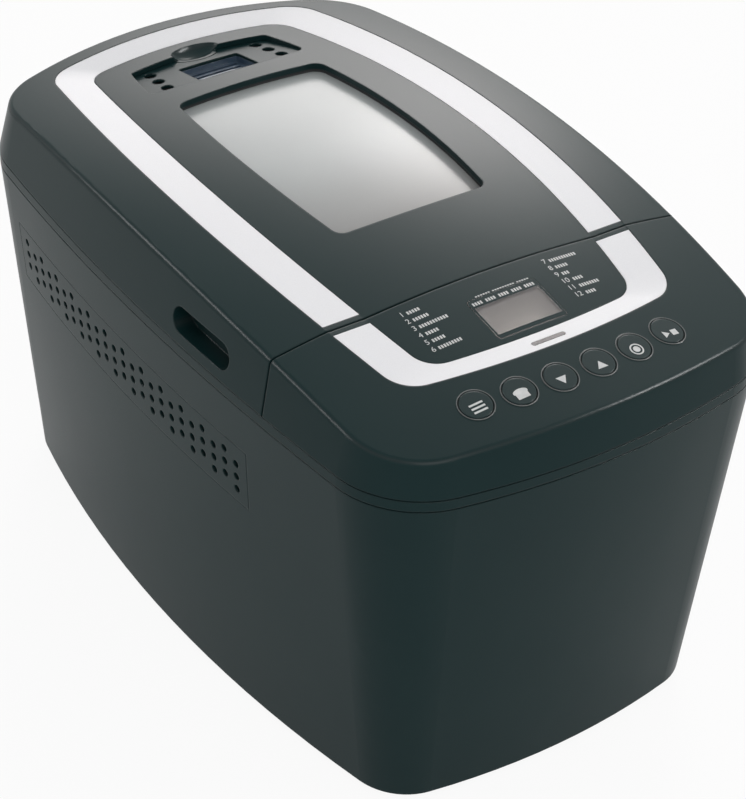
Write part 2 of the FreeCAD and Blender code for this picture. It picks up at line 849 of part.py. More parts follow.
def lid_lug(name, side):
    """One hinge lug: a round knuckle on a leg that runs up into the lid's back."""
    start = knuckle_start(side)
    leg = block(f"{name}Leg", (start, f"{start} + knuckle_width"),
                ("hinge_line - lug_depth", "hinge_line - pin_radius"), (HINGE_LEVEL, CROWN_TOP))
    knuckle = rod(f"{name}Knuckle", "knuckle_radius", "knuckle_width", start, "hinge_line", HINGE_LEVEL,
                  axis="X")
    return fuse(name, common(f"{name}Trimmed", leg, crown("roof_drop - wall")), knuckle)


def liner_posts(radius, low, high, tag):
    """One upright post at each screw of the lid's inner cover."""
    return [rod(f"{tag}{side}{end}", radius, f"{high} - ({low})", f"{side} * {LINER_BOSS_COLUMN}",
                f"liner_centre + {end} * liner_boss_offset", low)
            for side in (-1, 1) for end in (-1, 1)]


LINER_SEAT = f"({LINER_LOW} + liner_sheet)"
boss_rods = fuse("LinerBossRods", *liner_posts("boss_radius", LINER_SEAT, CROWN_TOP, "LinerBoss"))
liner_bosses = common("LinerBosses", boss_rods, crown("roof_drop - wall / 2"))
DISH_FALL = "(dish_centre - inner_centre)^2 / (2 * inner_length_radius)"


def dish_bowl(name, margin):
    """The egg shape that the thumb dish is scooped with, or a larger one round it."""
    bowl = doc.addObject("Part::Ellipsoid", name)
    bind(bowl, Radius1=f"dish_depth + wall + {margin}", Radius2=f"dish_half_width + {margin}",
         Radius3=f"dish_half_length + {margin}")
    return place(bowl, "0", "dish_centre", f"{INNER_TOP} - field_drop - {DISH_FALL} + wall")


dish = dish_bowl("Dish", "0")
dish_boss = common("DishBoss", dish_bowl("DishBowl", "dish_wall"), crown("roof_drop - fit_gap"))
lid_shell = cut("LidShell", lid_solid, lid_hollow, field_recess, lid_trim_recess, trim_dip, window_hole,
                vent_hole, hinge_clearance, hinge_notch)
lid_built = fuse("LidBuilt", lid_shell, grip_cup, mirrored("GripCupRight", grip_cup),
                 lid_lug("LugLeft", -1), lid_lug("LugRight", 1), liner_bosses, dish_boss)
pin_bore = rod("PinBore", "pin_radius + running_gap", "2 * rail_half_width", "-rail_half_width",
               "hinge_line", HINGE_LEVEL, axis="X")
liner_pilots = liner_posts("screw_radius + running_gap", LINER_SEAT, f"{LINER_SEAT} + screw_depth",
                           "LinerPilot")
node("lid_cover", cut("LidCover", lid_built, grip_slot, mirrored("GripSlotRight", grip_slot), dish,
                      pin_bore, *liner_pilots))
node("lid_trim", common("LidTrim", trim_sheet, lid_trim_space))
doc.recompute()


# Window: a rubber gasket under the opening and the glass under the gasket.
def draw_gasket(sketch):
    draw_outline(sketch, "window", "-gasket_lap")
    draw_outline(sketch, "window", "-fit_gap")


window_frame = upright("WindowFrame", draw_gasket)
window_pane = upright("WindowPane", lambda s: draw_outline(s, "window", "-gasket_lap"))
node("window_gasket", layer("WindowGasket", window_frame, GASKET_DROP, "gasket_thickness"))
node("window_glass", layer("WindowGlass", window_pane, GLASS_DROP, "glass_thickness"))


# Steam vent: a perforated plate under the opening, with a slotted tray hung below its middle.
def draw_screen(sketch, margin="0"):
    draw_round_rectangle(sketch, f"screen_half_width + {margin}", f"screen_half_length + {margin}",
                         f"screen_corner + {margin}", y="screen_centre")


def draw_vent_plate(sketch):
    draw_outline(sketch, "vent", "-vent_lap")
    draw_screen(sketch)
    for side in (-1, 1):
        for step in (-1, 0, 1):
            column = f"{side} * (steam_hole_column - {step} * steam_hole_splay)"
            draw_circle(sketch, "steam_hole_radius", column, f"steam_hole_line + {step} * steam_hole_pitch")


dish_clearance = dish_bowl("DishClearance", "dish_wall + fit_gap")
vent_sheet = layer("VentSheet", upright("VentPrism", draw_vent_plate), VENT_DROP, "vent_plate_thickness")
node("vent_plate", cut("VentPlate", vent_sheet, dish_clearance))
SCREEN_DROP = f"({VENT_DROP} + vent_plate_thickness + seat_gap)"
screen_flange = layer("ScreenFlange", upright("ScreenBrim", lambda s: draw_screen(s, "screen_lap")),
                      SCREEN_DROP, "screen_thickness")
screen_tray = layer("ScreenTray", upright("ScreenWall", lambda s: draw_screen(s, "screen_wall")),
                    SCREEN_DROP, "screen_depth")
screen_hollow = layer("ScreenHollow", upright("ScreenInside", draw_screen), "roof_drop",
                      f"{SCREEN_DROP} - roof_drop + screen_depth - screen_thickness")
screen_slots = []
for index in range(SIZES["screen_slot_count"]):
    middle = f"(screen_centre + ({index} - (screen_slot_count - 1) / 2) * screen_slot_pitch)"
    screen_slots.append(block(
        f"ScreenSlot{index}", ("-screen_half_width + screen_lap", "screen_half_width - screen_lap"),
        (f"{middle} - screen_slot_width / 2", f"{middle} + screen_slot_width / 2"), (LID_LOW, CROWN_TOP)))
node("vent_screen", cut("VentScreen", fuse("ScreenBuilt", screen_flange, screen_tray), screen_hollow,
                        *screen_slots, dish_clearance))


# Inner cover of the lid: a dished sheet with a flange, and a tunnel up to the glass.
def liner_loop(name, margin, bottom, height):
    return prism(name, lambda s: draw_round_rectangle(
        s, f"({LINER_HALF_WIDTH} + {margin})", f"({LINER_HALF_LENGTH} + {margin})",
        f"(liner_corner + {margin})", y="liner_centre"), bottom, height)


liner_dish = cut("LinerDish", liner_loop("LinerRaised", "0", LINER_LOW, "liner_sheet + liner_rise"),
                 liner_loop("LinerInside", "-liner_sheet", LINER_LOW, "liner_rise"))
liner_brim = cut("LinerBrim", liner_loop("LinerPlate", "liner_flange", LINER_LOW, "liner_sheet"),
                 liner_loop("LinerBrimHole", "-liner_sheet / 2", LINER_LOW, "liner_sheet"))
tunnel_rim = prism("TunnelRim", lambda s: draw_outline(s, "window", "-liner_sheet"),
                   f"{LINER_TOP} - liner_sheet", "form_height")
tunnel = common("Tunnel", tunnel_rim, crown(TUNNEL_DROP))
tunnel_bore = prism("TunnelBore", lambda s: draw_outline(s, "window"), LINER_LOW, "form_height")
steam_slot = prism("SteamSlot", draw_screen, LINER_LOW, "form_height")
liner_holes = liner_posts("screw_radius + fit_gap", LINER_LOW, LINER_SEAT, "LinerScrewHole")
liner_built = fuse("LinerBuilt", liner_dish, liner_brim, tunnel)
node("lid_liner", cut("LidLiner", liner_built, tunnel_bore, steam_slot, *liner_holes))


def screw(name, x, y, seat):
    """A pan-head screw that goes up into its boss from below."""
    tip = "screw_depth - screw_tip_gap"
    return turned(name, [("0", "-screw_head_height"), ("screw_head_radius", "-screw_head_height"),
                         ("screw_head_radius", "0"), ("screw_radius", "0"),
                         ("screw_radius", tip), ("0", tip)], x, y, seat)


node("liner_screws", group_of("LinerScrews", [
    screw(f"LinerScrew{side}{end}", f"{side} * {LINER_BOSS_COLUMN}",
          f"liner_centre + {end} * liner_boss_offset", LINER_LOW) for side in (-1, 1) for end in (-1, 1)]))
doc.recompute()

# Control panel: the fixed front of the crowned form, with the button holes and the display opening.
BUTTON_NAMES = ("menu_button", "loaf_size_button", "time_down_button", "time_up_button", "crust_button",
                "start_stop_button")


def button_place(index):
    """A button's place on a shallow arc that follows the front edge."""
    across = f"({index - (len(BUTTON_NAMES) - 1) / 2} * button_pitch)"
    return across, f"(button_line + {across}^2 / (2 * button_arc_radius))"


BUTTON_PLACES = [button_place(index) for index in range(len(BUTTON_NAMES))]
panel_solid = common("PanelSolid", top_block, half_space("PanelSpace", f"-{FAR}", PANEL_REAR))
panel_inside = half_space("PanelInside", f"-{FAR}", f"{PANEL_REAR} - wall")
panel_hollow = common("PanelHollow", inner_space, panel_inside)
panel_trim_space = half_space("PanelTrimSpace", f"-{FAR}", "split_line - trim_stop")
panel_trim_recess = common("PanelTrimRecess", trim_recess, panel_trim_space)


def draw_lens(sketch, margin):
    draw_round_rectangle(sketch, f"lens_half_width + {margin}", f"lens_half_length + {margin}",
                         "lens_corner", y="lens_centre")


def draw_indicator(sketch, margin):
    draw_round_rectangle(sketch, f"indicator_half_width + {margin}", f"indicator_half_length + {margin}",
                         "indicator_half_length - seat_gap", y="indicator_centre")


lens_hole = upright("LensHole", lambda s: draw_lens(s, "seat_gap"))
indicator_hole = upright("IndicatorHole", lambda s: draw_indicator(s, "fit_gap"))
button_holes = [rod(f"ButtonHole{index}", "button_radius + button_gap", "form_height", x, y, LID_LOW)
                for index, (x, y) in enumerate(BUTTON_PLACES)]
panel_boss_rods = fuse("PanelBossRods", *[
    rod(f"PanelBoss{side}{end}", "boss_radius", f"{CROWN_TOP} - {DECK_TOP}",
        f"{side} * panel_boss_column", f"panel_boss_{end}", DECK_TOP)
    for side in (-1, 1) for end in ("front", "rear")])
panel_bosses = common("PanelBosses", panel_boss_rods, crown("roof_drop - wall / 2"))
panel_shell = cut("PanelShell", panel_solid, panel_hollow, field_recess, panel_trim_recess, trim_dip,
                  lens_hole, indicator_hole, *button_holes)
node("control_panel", fuse("ControlPanel", panel_shell, panel_bosses))
panel_ring = common("PanelTrimRing", trim_sheet, panel_trim_space)
node("panel_trim", cut("PanelTrim", panel_ring, indicator_hole))
lens_prism = upright("LensPrism", lambda s: draw_lens(s, "0"))
node("display_lens", layer("DisplayLens", lens_prism, "field_drop", "lens_thickness"))
indicator_prism = upright("IndicatorPrism", lambda s: draw_indicator(s, "0"))
node("indicator_lens", cut("IndicatorLens", common("IndicatorTop", indicator_prism, trim_under),
                           crown("indicator_depth")))
doc.recompute()

# Buttons: a round cap whose top follows the crown, on a flange that the panel holds down.
FLANGE_TOP = f"({BUTTON_LOW} + button_flange_thickness)"
for index, (x, y) in enumerate(BUTTON_PLACES):
    cap = turned(f"Cap{index}", [
        ("0", BUTTON_LOW), ("button_radius + button_flange", BUTTON_LOW),
        ("button_radius + button_flange", FLANGE_TOP), ("button_radius", FLANGE_TOP),
        ("button_radius", CROWN_TOP), ("0", CROWN_TOP)], x, y)
    node(BUTTON_NAMES[index], common(f"Button{index}", cap, crown("-button_proud", "outer")))

# Control board on four posts, with a switch under each button and the display on a stand.
node("control_board", block("ControlBoard", ("-board_half_width", "board_half_width"),
                            ("board_front", "board_rear"), (BOARD_LOW, BOARD_TOP)))
switches = []
half_switch = "switch_size / 2"
for index, (x, y) in enumerate(BUTTON_PLACES):
    housing = block(f"SwitchBox{index}", (f"{x} - {half_switch}", f"{x} + {half_switch}"),
                    (f"{y} - {half_switch}", f"{y} + {half_switch}"),
                    (BOARD_TOP, f"{BOARD_TOP} + switch_height"))
    plunger = rod(f"Plunger{index}", "plunger_radius", "switch_height + plunger_height", x, y, BOARD_TOP)
    switches.append(fuse(f"Switch{index}", housing, plunger))
node("tact_switches", group_of("TactSwitches", switches))


def display_block(name, margin, top):
    """A box on the board about the middle of the display."""
    half_width, half_length = f"(display_half_width - {margin})", f"(display_half_length - {margin})"
    return block(name, (f"-{half_width}", half_width),
                 (f"lens_centre - {half_length}", f"lens_centre + {half_length}"), (BOARD_TOP, top))


stand = display_block("DisplayStand", "0", f"{BOARD_TOP} + display_height")
stand_hollow = display_block("DisplayHollow", "wall", f"{BOARD_TOP} + display_height - wall")
node("lcd_module", cut("LcdModule", stand, stand_hollow))


# Top deck: the plate that carries the chamber, the panel, the lid hinge and the control board.
def chamber_loop(name, margin, bottom, height):
    return prism(name, lambda s: draw_round_rectangle(
        s, f"({CHAMBER_HALF_WIDTH} + {margin})", f"({CHAMBER_HALF_LENGTH} + {margin})",
        f"(chamber_corner + {margin})", y="chamber_centre"), bottom, height)


deck_plate = prism("DeckPlate", lambda s: draw_outline(s, "seam"), DECK_LOW, "deck_height")
deck_hollow = prism("DeckHollow", lambda s: draw_outline(s, "seam", "wall"), DECK_LOW,
                    "deck_height - deck_skin")
chamber_hole = chamber_loop("ChamberHole", "chamber_gap", DECK_LOW, "deck_height")
cable_hatch = prism("CableHatch", lambda s: draw_round_rectangle(
    s, "cable_hatch_half_width", "cable_hatch_half_length", "wall", y="cable_hatch_centre"),
    DECK_LOW, "deck_height")
DECK_UNDER = f"({DECK_TOP} - deck_skin)"
POST_ROWS = ("board_front + post_inset", "board_rear - post_inset")
board_posts = [rod(f"BoardPost{side}{row}", "post_radius", f"{BOARD_LOW} - {DECK_UNDER}",
                   f"{side} * post_column", post_y, DECK_UNDER)
               for side in (-1, 1) for row, post_y in enumerate(POST_ROWS)]
rail_barrel = rod("RailBarrel", "rail_radius", "2 * rail_half_width", "-rail_half_width", "hinge_line",
                  HINGE_LEVEL, axis="X")
rail_foot = block("RailFoot", ("-rail_half_width", "rail_half_width"), ("hinge_line - rail_radius", FAR),
                  (DECK_UNDER, HINGE_LEVEL))
rail_form = prism("RailForm", lambda s: draw_outline(s, "seam", "rail_inset"), DECK_UNDER, "form_height")
rail = common("Rail", fuse("RailStock", rail_barrel, rail_foot), rail_form)


def knuckle_bay(name, side):
    """The gap in the hinge rail where a lid lug swings."""
    start = knuckle_start(side)
    return block(name, (f"{start} - moving_gap", f"{start} + knuckle_width + moving_gap"),
                 ("hinge_line - 2 * rail_radius", FAR), (DECK_TOP, CROWN_TOP))


deck_shell = cut("DeckShell", deck_plate, deck_hollow, chamber_hole, cable_hatch)
deck_built = fuse("DeckBuilt", deck_shell, *board_posts, rail)
node("top_deck", cut("TopDeck", deck_built, knuckle_bay("BayLeft", -1), knuckle_bay("BayRight", 1),
                     pin_bore))
node("hinge_pins", group_of("HingePins", [
    rod(f"HingePin{side}", "pin_radius", "knuckle_width + 2 * pin_reach",
        f"{knuckle_start(side)} - pin_reach", "hinge_line", HINGE_LEVEL, axis="X")
    for side in (-1, 1)]))
doc.recompute()

# Body shell: a tapering wrap, open above and below, with a window for each side grille.
shell_outer = loft("ShellOuter", "base", "foot_height", "seam", BODY_TOP)
shell_inner = loft("ShellInner", "base", "foot_height", "seam", BODY_TOP, "wall")
shell_wall = cut("ShellWall", shell_outer, shell_inner)


def grille_region(name, margin):
    return block(name, ("-seam_half_width", "-base_half_width / 2"),
                 (f"grille_front - {margin}", f"grille_rear + {margin}"),
                 (f"grille_low - {margin}", f"grille_low + grille_height + {margin}"))


grille_window = grille_region("GrilleWindow", "fit_gap")
inlet_hole = rod("InletHole", "inlet_neck + fit_gap", "base_half_length", "inlet_place",
                 "base_half_length / 2", "inlet_level", axis="Y")
body_shell = node("body_shell", cut("BodyShell", shell_wall, grille_window,
                                    mirrored("GrilleWindowRight", grille_window), inlet_hole))

# Side grilles: curved inserts with staggered rows of round holes.
hole_body = new_body("GrilleHoles")
hole_sketch = new_sketch(hole_body, "YZ_Plane", "-seam_half_width")
GRILLE_SPAN = "((grille_columns - 1) * grille_column_pitch)"
GRILLE_RISE = "((grille_rows - 1 / 2) * grille_row_pitch)"
FIRST_HOLE = f"((grille_front + grille_rear - {GRILLE_SPAN}) / 2)"
LOW_HOLE = f"(grille_low + (grille_height - {GRILLE_RISE}) / 2)"
draw_circle(hole_sketch, "grille_hole_radius", FIRST_HOLE, LOW_HOLE)
draw_circle(hole_sketch, "grille_hole_radius", f"{FIRST_HOLE} + grille_column_pitch",
            f"{LOW_HOLE} + grille_row_pitch / 2")
hole_pad = pad(hole_body, hole_sketch, "seam_half_width / 2")
pattern = hole_body.newObject("PartDesign::MultiTransform", "GrillePattern")
pattern.Originals = [hole_pad]
pattern.Transformations = [
    in_row(hole_body, "Y_Axis", "grille_columns / 2", f"{GRILLE_SPAN} - grille_column_pitch"),
    in_row(hole_body, "Z_Axis", "grille_rows", "(grille_rows - 1) * grille_row_pitch")]
hole_body.Tip = pattern
grille_plate = common("GrillePlate", shell_wall, grille_region("GrilleArea", "0"))
grille_left = cut("GrilleLeft", grille_plate, hole_body)
node("vent_grille_left", grille_left)
node("vent_grille_right", mirrored("GrilleRight", grille_left))
doc.recompute()

# Base plate with its air slots, the posts under the chassis, and four rubber feet.
base_stock = prism("BaseStock", lambda s: draw_outline(s, "base", "wall + fit_gap"), "foot_height",
                   "plate_thickness")
FOOT_PLACES = [(f"{side} * foot_column", f"{end} * foot_row") for side in (-1, 1) for end in (-1, 1)]
CHASSIS_POSTS = [(f"{side} * chassis_post_column", post_y) for side in (-1, 1)
                 for post_y in ("chassis_front + chassis_post_inset", "chassis_rear - chassis_post_inset")]
foot_holes = [rod(f"FootHole{index}", "foot_peg_radius + fit_gap", "plate_thickness", x, y, "foot_height")
              for index, (x, y) in enumerate(FOOT_PLACES)]
chassis_posts = [rod(f"ChassisPost{index}", "chassis_post_radius", "chassis_level - foot_height", x, y,
                     "foot_height") for index, (x, y) in enumerate(CHASSIS_POSTS)]
post_bores = [rod(f"PostBore{index}", "screw_radius + running_gap", "screw_depth", x, y, "foot_height")
              for index, (x, y) in enumerate(CHASSIS_POSTS)]
SLOT_SPAN = "((base_slot_count - 1) * base_slot_pitch)"
base_slots = new_body("BaseSlots")
slot_sketch = new_sketch(base_slots, "XY_Plane", "foot_height")
for slot_line in ("motor_line", "chamber_centre"):
    draw_round_rectangle(slot_sketch, "base_slot_width / 2", "base_slot_length / 2",
                         "base_slot_width / 2 - seat_gap", f"-{SLOT_SPAN} / 2", slot_line)
first_slots = pad(base_slots, slot_sketch, "plate_thickness")
slot_row = in_row(base_slots, "X_Axis", "base_slot_count", SLOT_SPAN)
slot_row.Originals = [first_slots]
base_slots.Tip = slot_row
base_sheet = cut("BaseSlotted", base_stock, base_slots, *foot_holes)
node("base_plate", cut("BasePlate", fuse("BaseBuilt", base_sheet, *chassis_posts), *post_bores))
node("base_screws", group_of("BaseScrews", [screw(f"BaseScrew{index}", x, y, "foot_height")
                                            for index, (x, y) in enumerate(CHASSIS_POSTS)]))
foot_profile = [("0", "0"), ("foot_radius - foot_chamfer", "0"), ("foot_radius", "foot_chamfer"),
                ("foot_radius", "foot_height"), ("foot_peg_radius", "foot_height"),
                ("foot_peg_radius", PLATE_TOP), ("0", PLATE_TOP)]
node("rubber_feet", group_of("RubberFeet", [turned(f"Foot{index}", foot_profile, x, y)
                                            for index, (x, y) in enumerate(FOOT_PLACES)]))

# Chassis plate: the bent sheet that carries the motor, the drive bearing and the chamber.
chassis_sheet = block("ChassisSheet", ("-chassis_half_width", "chassis_half_width"),
                      ("chassis_front", "chassis_rear"), ("chassis_level", CHASSIS_TOP))
chassis_lip = block("ChassisLip", ("-chassis_half_width", "-chassis_half_width + chassis_thickness"),
                    ("chassis_front", "chassis_rear"), ("chassis_level - chassis_lip", "chassis_level"))
bearing_hole = rod("BearingHole", "bearing_radius + fit_gap", "4 * chassis_thickness", "0",
                   "chamber_centre", "chassis_level - chassis_thickness")
shaft_hole = rod("ShaftHole", "motor_neck_radius", "4 * chassis_thickness", "0", "motor_line",
                 "chassis_level - chassis_thickness")
chassis_built = fuse("ChassisBuilt", chassis_sheet, chassis_lip, mirrored("ChassisLipRight", chassis_lip))
node("chassis_plate", cut("ChassisPlate", chassis_built, bearing_hole, shaft_hole))

# Baking chamber: a drawn sheet box with a flange that rests on the deck.
BRIM_TOP = f"({DECK_TOP} + chamber_sheet)"
chamber_box = chamber_loop("ChamberBox", "0", CHASSIS_TOP, f"{BRIM_TOP} - {CHASSIS_TOP}")
chamber_brim = chamber_loop("ChamberBrim", "chamber_flange", DECK_TOP, "chamber_sheet")
chamber_inside = chamber_loop("ChamberInside", "-chamber_sheet", CHAMBER_FLOOR,
                              f"{BRIM_TOP} - {CHAMBER_FLOOR}")
HEATER_LEVEL = f"({CHAMBER_FLOOR} + heater_level)"
CHAMBER_FRONT = f"(chamber_centre - {CHAMBER_HALF_LENGTH})"
SENSOR_LEVEL = f"({CHAMBER_FLOOR} + sensor_level)"
leg_holes = [rod(f"LegHole{side}", "bushing_neck + fit_gap", "chamber_corner",
                 f"{side} * heater_leg_place", f"{CHAMBER_FRONT} - chamber_corner / 2", HEATER_LEVEL,
                 axis="Y") for side in (-1, 1)]
sensor_hole = rod("SensorHole", "sensor_radius + fit_gap", "chamber_corner",
                  f"-{CHAMBER_HALF_WIDTH} - chamber_corner / 2", "chamber_centre", SENSOR_LEVEL, axis="X")
chamber_stock = fuse("ChamberStock", chamber_box, chamber_brim)
node("chamber_liner", cut("ChamberLiner", chamber_stock, chamber_inside, bearing_hole, sensor_hole,
                          *leg_holes))
doc.recompute()


def bent_bar(name, radius, level, corners, bends):
    """A round bar through the given corners at one level, each corner rounded by its own bend."""
    points = [FreeCAD.Vector(number(x), number(y), number(level)) for x, y in corners]
    edges = []
    start = points[0]
    for before, point, after, bend in zip(points, points[1:], points[2:], bends):
        reach = number(bend)
        back, onward = (before - point).normalize(), (after - point).normalize()
        enter, leave = point + back * reach, point + onward * reach
        middle = point + (back + onward) * (reach * (1 - math.sqrt(0.5)))
        edges += [Part.LineSegment(start, enter).toShape(), Part.Arc(enter, middle, leave).toShape()]
        start = leave
    edges.append(Part.LineSegment(start, points[-1]).toShape())
    route = doc.addObject("Part::Feature", f"{name}Route")
    route.Shape = Part.Wire(edges)
    section = doc.addObject("Part::Circle", f"{name}Section")
    bind(section, Radius=radius)
    turn(section, FreeCAD.Vector(1, 0, 0), -90)
    place(section, *corners[0], level)
    bar = doc.addObject("Part::Sweep", name)
    bar.Sections = [section]
    bar.Spine = (route, [f"Edge{index}" for index in range(1, len(edges) + 1)])
    bar.Solid = True
    bar.Frenet = False
    return bar


# Heater: one bent tube round the foot of the chamber, its two ends through ceramic bushes.
HEATER_SIDE = f"({CHAMBER_HALF_WIDTH} - heater_inset)"
HEATER_FRONT = f"({CHAMBER_FRONT} + heater_inset)"
HEATER_BACK = f"(chamber_centre + {CHAMBER_HALF_LENGTH} - heater_inset)"
HEATER_END = f"({HEATER_FRONT} - heater_leg_length)"
heater_corners = [
    ("heater_leg_place", HEATER_END), ("heater_leg_place", HEATER_FRONT), (HEATER_SIDE, HEATER_FRONT),
    (HEATER_SIDE, HEATER_BACK), (f"-{HEATER_SIDE}", HEATER_BACK), (f"-{HEATER_SIDE}", HEATER_FRONT),
    ("-heater_leg_place", HEATER_FRONT), ("-heater_leg_place", HEATER_END)]
heater_bends = ["heater_leg_bend", *["heater_bend"] * 4, "heater_leg_bend"]
node("heating_element", bent_bar("Heater", "heater_tube_radius", HEATER_LEVEL, heater_corners, heater_bends))


def bushing(name, side):
    """A ceramic bush: a neck through the chamber's front wall and a collar in front of it."""
    bore, neck_end = "heater_tube_radius + fit_gap", "2 * chamber_sheet"
    item = turned(name, [(bore, "-bushing_length"), ("bushing_radius", "-bushing_length"),
                         ("bushing_radius", "0"), ("bushing_neck", "0"), ("bushing_neck", neck_end),
                         (bore, neck_end)],
                  f"{side} * heater_leg_place", CHAMBER_FRONT, HEATER_LEVEL)
    return turn(item, FreeCAD.Vector(1, 0, 0), -90)


node("element_bushings", group_of("ElementBushings", [bushing("BushingLeft", -1),
                                                      bushing("BushingRight", 1)]))
sensor = turned("Sensor", [
    ("0", "-sensor_tail"), ("sensor_radius", "-sensor_tail"), ("sensor_radius", "-wall"),
    ("sensor_flange", "-wall"), ("sensor_flange", "0"), ("sensor_radius", "0"),
    ("sensor_radius", "sensor_reach"), ("0", "sensor_reach")],
    f"-{CHAMBER_HALF_WIDTH}", "chamber_centre", SENSOR_LEVEL)
node("temperature_sensor", turn(sensor, FreeCAD.Vector(0, 1, 0), 90))

# Pan clips: two leaf springs on the chamber floor that hold the foot of the pan.
CLIP_NEAR = "(pan_foot_radius + bracket_gap)"
clip_rows = ("chamber_centre - clip_width / 2", "chamber_centre + clip_width / 2")
clip_leaf = block("ClipLeaf", (CLIP_NEAR, f"{CLIP_NEAR} + clip_sheet"), clip_rows,
                  (CHAMBER_FLOOR, f"{CHAMBER_FLOOR} + clip_height"))
clip_foot = block("ClipFoot", (CLIP_NEAR, f"{CLIP_NEAR} + clip_foot"), clip_rows,
                  (CHAMBER_FLOOR, f"{CHAMBER_FLOOR} + clip_sheet"))
right_clip = fuse("ClipRight", clip_leaf, clip_foot)
node("pan_clips", group_of("PanClips", [right_clip, mirrored("ClipLeft", right_clip)]))

# Motor, its shaft, pulley and cooling fan.
MOTOR_SHOULDER = f"({CHASSIS_TOP} + motor_height)"
MOTOR_TOP = f"({MOTOR_SHOULDER} + motor_neck_height)"
SHAFT_BORE = "(spindle_radius + running_gap)"
node("motor_body", turned("MotorBody", [
    (SHAFT_BORE, CHASSIS_TOP), ("motor_radius", CHASSIS_TOP),
    ("motor_radius", f"{MOTOR_SHOULDER} - motor_chamfer"),
    ("motor_radius - motor_chamfer", MOTOR_SHOULDER), ("motor_neck_radius", MOTOR_SHOULDER),
    ("motor_neck_radius", MOTOR_TOP), (SHAFT_BORE, MOTOR_TOP)], y="motor_line"))
FAN_LOW = f"({MOTOR_TOP} + moving_gap)"
node("motor_shaft", rod("MotorShaft", "spindle_radius", f"{FAN_LOW} + fan_height - belt_level", "0",
                        "motor_line", "belt_level"))
PULLEY_TOP = "(belt_level + belt_width + 2 * pulley_lip_height)"


def pulley(name, radius, y):
    """A flat belt pulley with a lip above and below its face."""
    lip = f"({radius} + pulley_lip)"
    face_low, face_top = BELT_LOW, f"{PULLEY_TOP} - pulley_lip_height"
    return turned(name, [
        (SHAFT_BORE, "belt_level"), (lip, "belt_level"), (lip, face_low), (radius, face_low),
        (radius, face_top), (lip, face_top), (lip, PULLEY_TOP), (SHAFT_BORE, PULLEY_TOP)], "0", y)


node("motor_pulley", pulley("MotorPulley", "motor_pulley_radius", "motor_line"))
drive_wheel = pulley("DriveWheel", "drive_pulley_radius", "chamber_centre")
wheel_dish = turned("WheelDish", ring("pulley_hub_radius", "drive_pulley_radius - pulley_rim",
                                      "belt_level + pulley_web", PULLEY_TOP), y="chamber_centre")
node("drive_pulley", cut("DrivePulley", drive_wheel, wheel_dish))
fan_body = new_body("MotorFan")
fan_sketch = new_sketch(fan_body, "XY_Plane")
draw_circle(fan_sketch, "fan_hub_radius")
draw_circle(fan_sketch, SHAFT_BORE)
pad(fan_body, fan_sketch, "fan_height")
blade_sketch = new_sketch(fan_body, "XY_Plane")
blade_root, half_blade = "fan_hub_radius - fan_blade_thickness", "fan_blade_thickness / 2"
draw_polygon(blade_sketch, [(blade_root, f"-{half_blade}"), ("fan_radius", f"-{half_blade}"),
                            ("fan_radius", half_blade), (blade_root, half_blade)])
blade = pad(fan_body, blade_sketch, "fan_height")
doc.recompute()
blades = fan_body.newObject("PartDesign::PolarPattern", "FanBlades")
blades.Originals = [blade]
blades.Axis = (fan_sketch, ["N_Axis"])
blades.Angle = 360
bind(blades, Occurrences="fan_blades")
fan_body.Tip = blades
node("motor_fan", place(fan_body, "0", "motor_line", FAN_LOW))


# Belt: one loop round the two pulleys, just clear of both.
def draw_belt(sketch, margin):
    small, large = f"(motor_pulley_radius + {margin})", f"(drive_pulley_radius + {margin})"
    near, far = vector(0, number("motor_line")), vector(0, number("chamber_centre"))
    lean = math.asin((number(large) - number(small)) / (far.y - near.y))
    right, left = vector(math.cos(lean), -math.sin(lean)), vector(-math.cos(lean), -math.sin(lean))
    first = sketch.GeometryCount
    sketch.addGeometry(arc_between(near, number(small), near + left, near + right))
    sketch.addGeometry(Part.LineSegment(near + right * number(small), far + right * number(large)))
    sketch.addGeometry(arc_between(far, number(large), far + right, far + left))
    sketch.addGeometry(Part.LineSegment(far + left * number(large), near + left * number(small)))
    close_with_tangents(sketch, first, 4)
    fix_point(sketch, (first, 3), "0", "motor_line")
    fix_point(sketch, (first + 2, 3), "0", "chamber_centre")
    dimension(sketch, "Radius", (first,), small)
    dimension(sketch, "Radius", (first + 2,), large)


def draw_belt_loop(sketch):
    draw_belt(sketch, "belt_gap")
    draw_belt(sketch, "belt_gap + belt_thickness")


node("drive_belt", prism("DriveBelt", draw_belt_loop, f"{BELT_LOW} + belt_gap",
                         "belt_width - 2 * belt_gap"))

# Drive shaft in its bearing, with the lower half of the coupling on top.
FLANGE_LOW = "(chassis_level - bearing_flange_thickness)"
node("drive_bearing", turned("DriveBearing", [
    (SHAFT_BORE, FLANGE_LOW), ("bearing_flange", FLANGE_LOW), ("bearing_flange", "chassis_level"),
    ("bearing_radius", "chassis_level"), ("bearing_radius", f"{CHASSIS_TOP} + bearing_rise"),
    (SHAFT_BORE, f"{CHASSIS_TOP} + bearing_rise")], y="chamber_centre"))
node("drive_shaft", rod("DriveShaft", "spindle_radius", f"{DOGS_LOW} - belt_level", "0", "chamber_centre",
                        "belt_level"))


def coupling(name, disc_low, dogs_low, across):
    """A disc with two driving dogs, which stand along X or along Y."""
    profile = ring(SHAFT_BORE, "coupling_radius", disc_low, f"{disc_low} + coupling_disc")
    disc = turned(f"{name}Disc", profile, y="chamber_centre")
    dogs = []
    for side in (-1, 1):
        limits = (f"{side} * dog_inner", f"{side} * (coupling_radius - dog_inset)")
        reach, width = tuple(sorted(limits, key=number)), ("-dog_width / 2", "dog_width / 2")
        x, y = (reach, width) if across else (width, reach)
        dogs.append(block(f"{name}Dog{side}", x, tuple(f"chamber_centre + {limit}" for limit in y),
                          (dogs_low, f"{dogs_low} + dog_height")))
    return fuse(name, disc, *dogs)


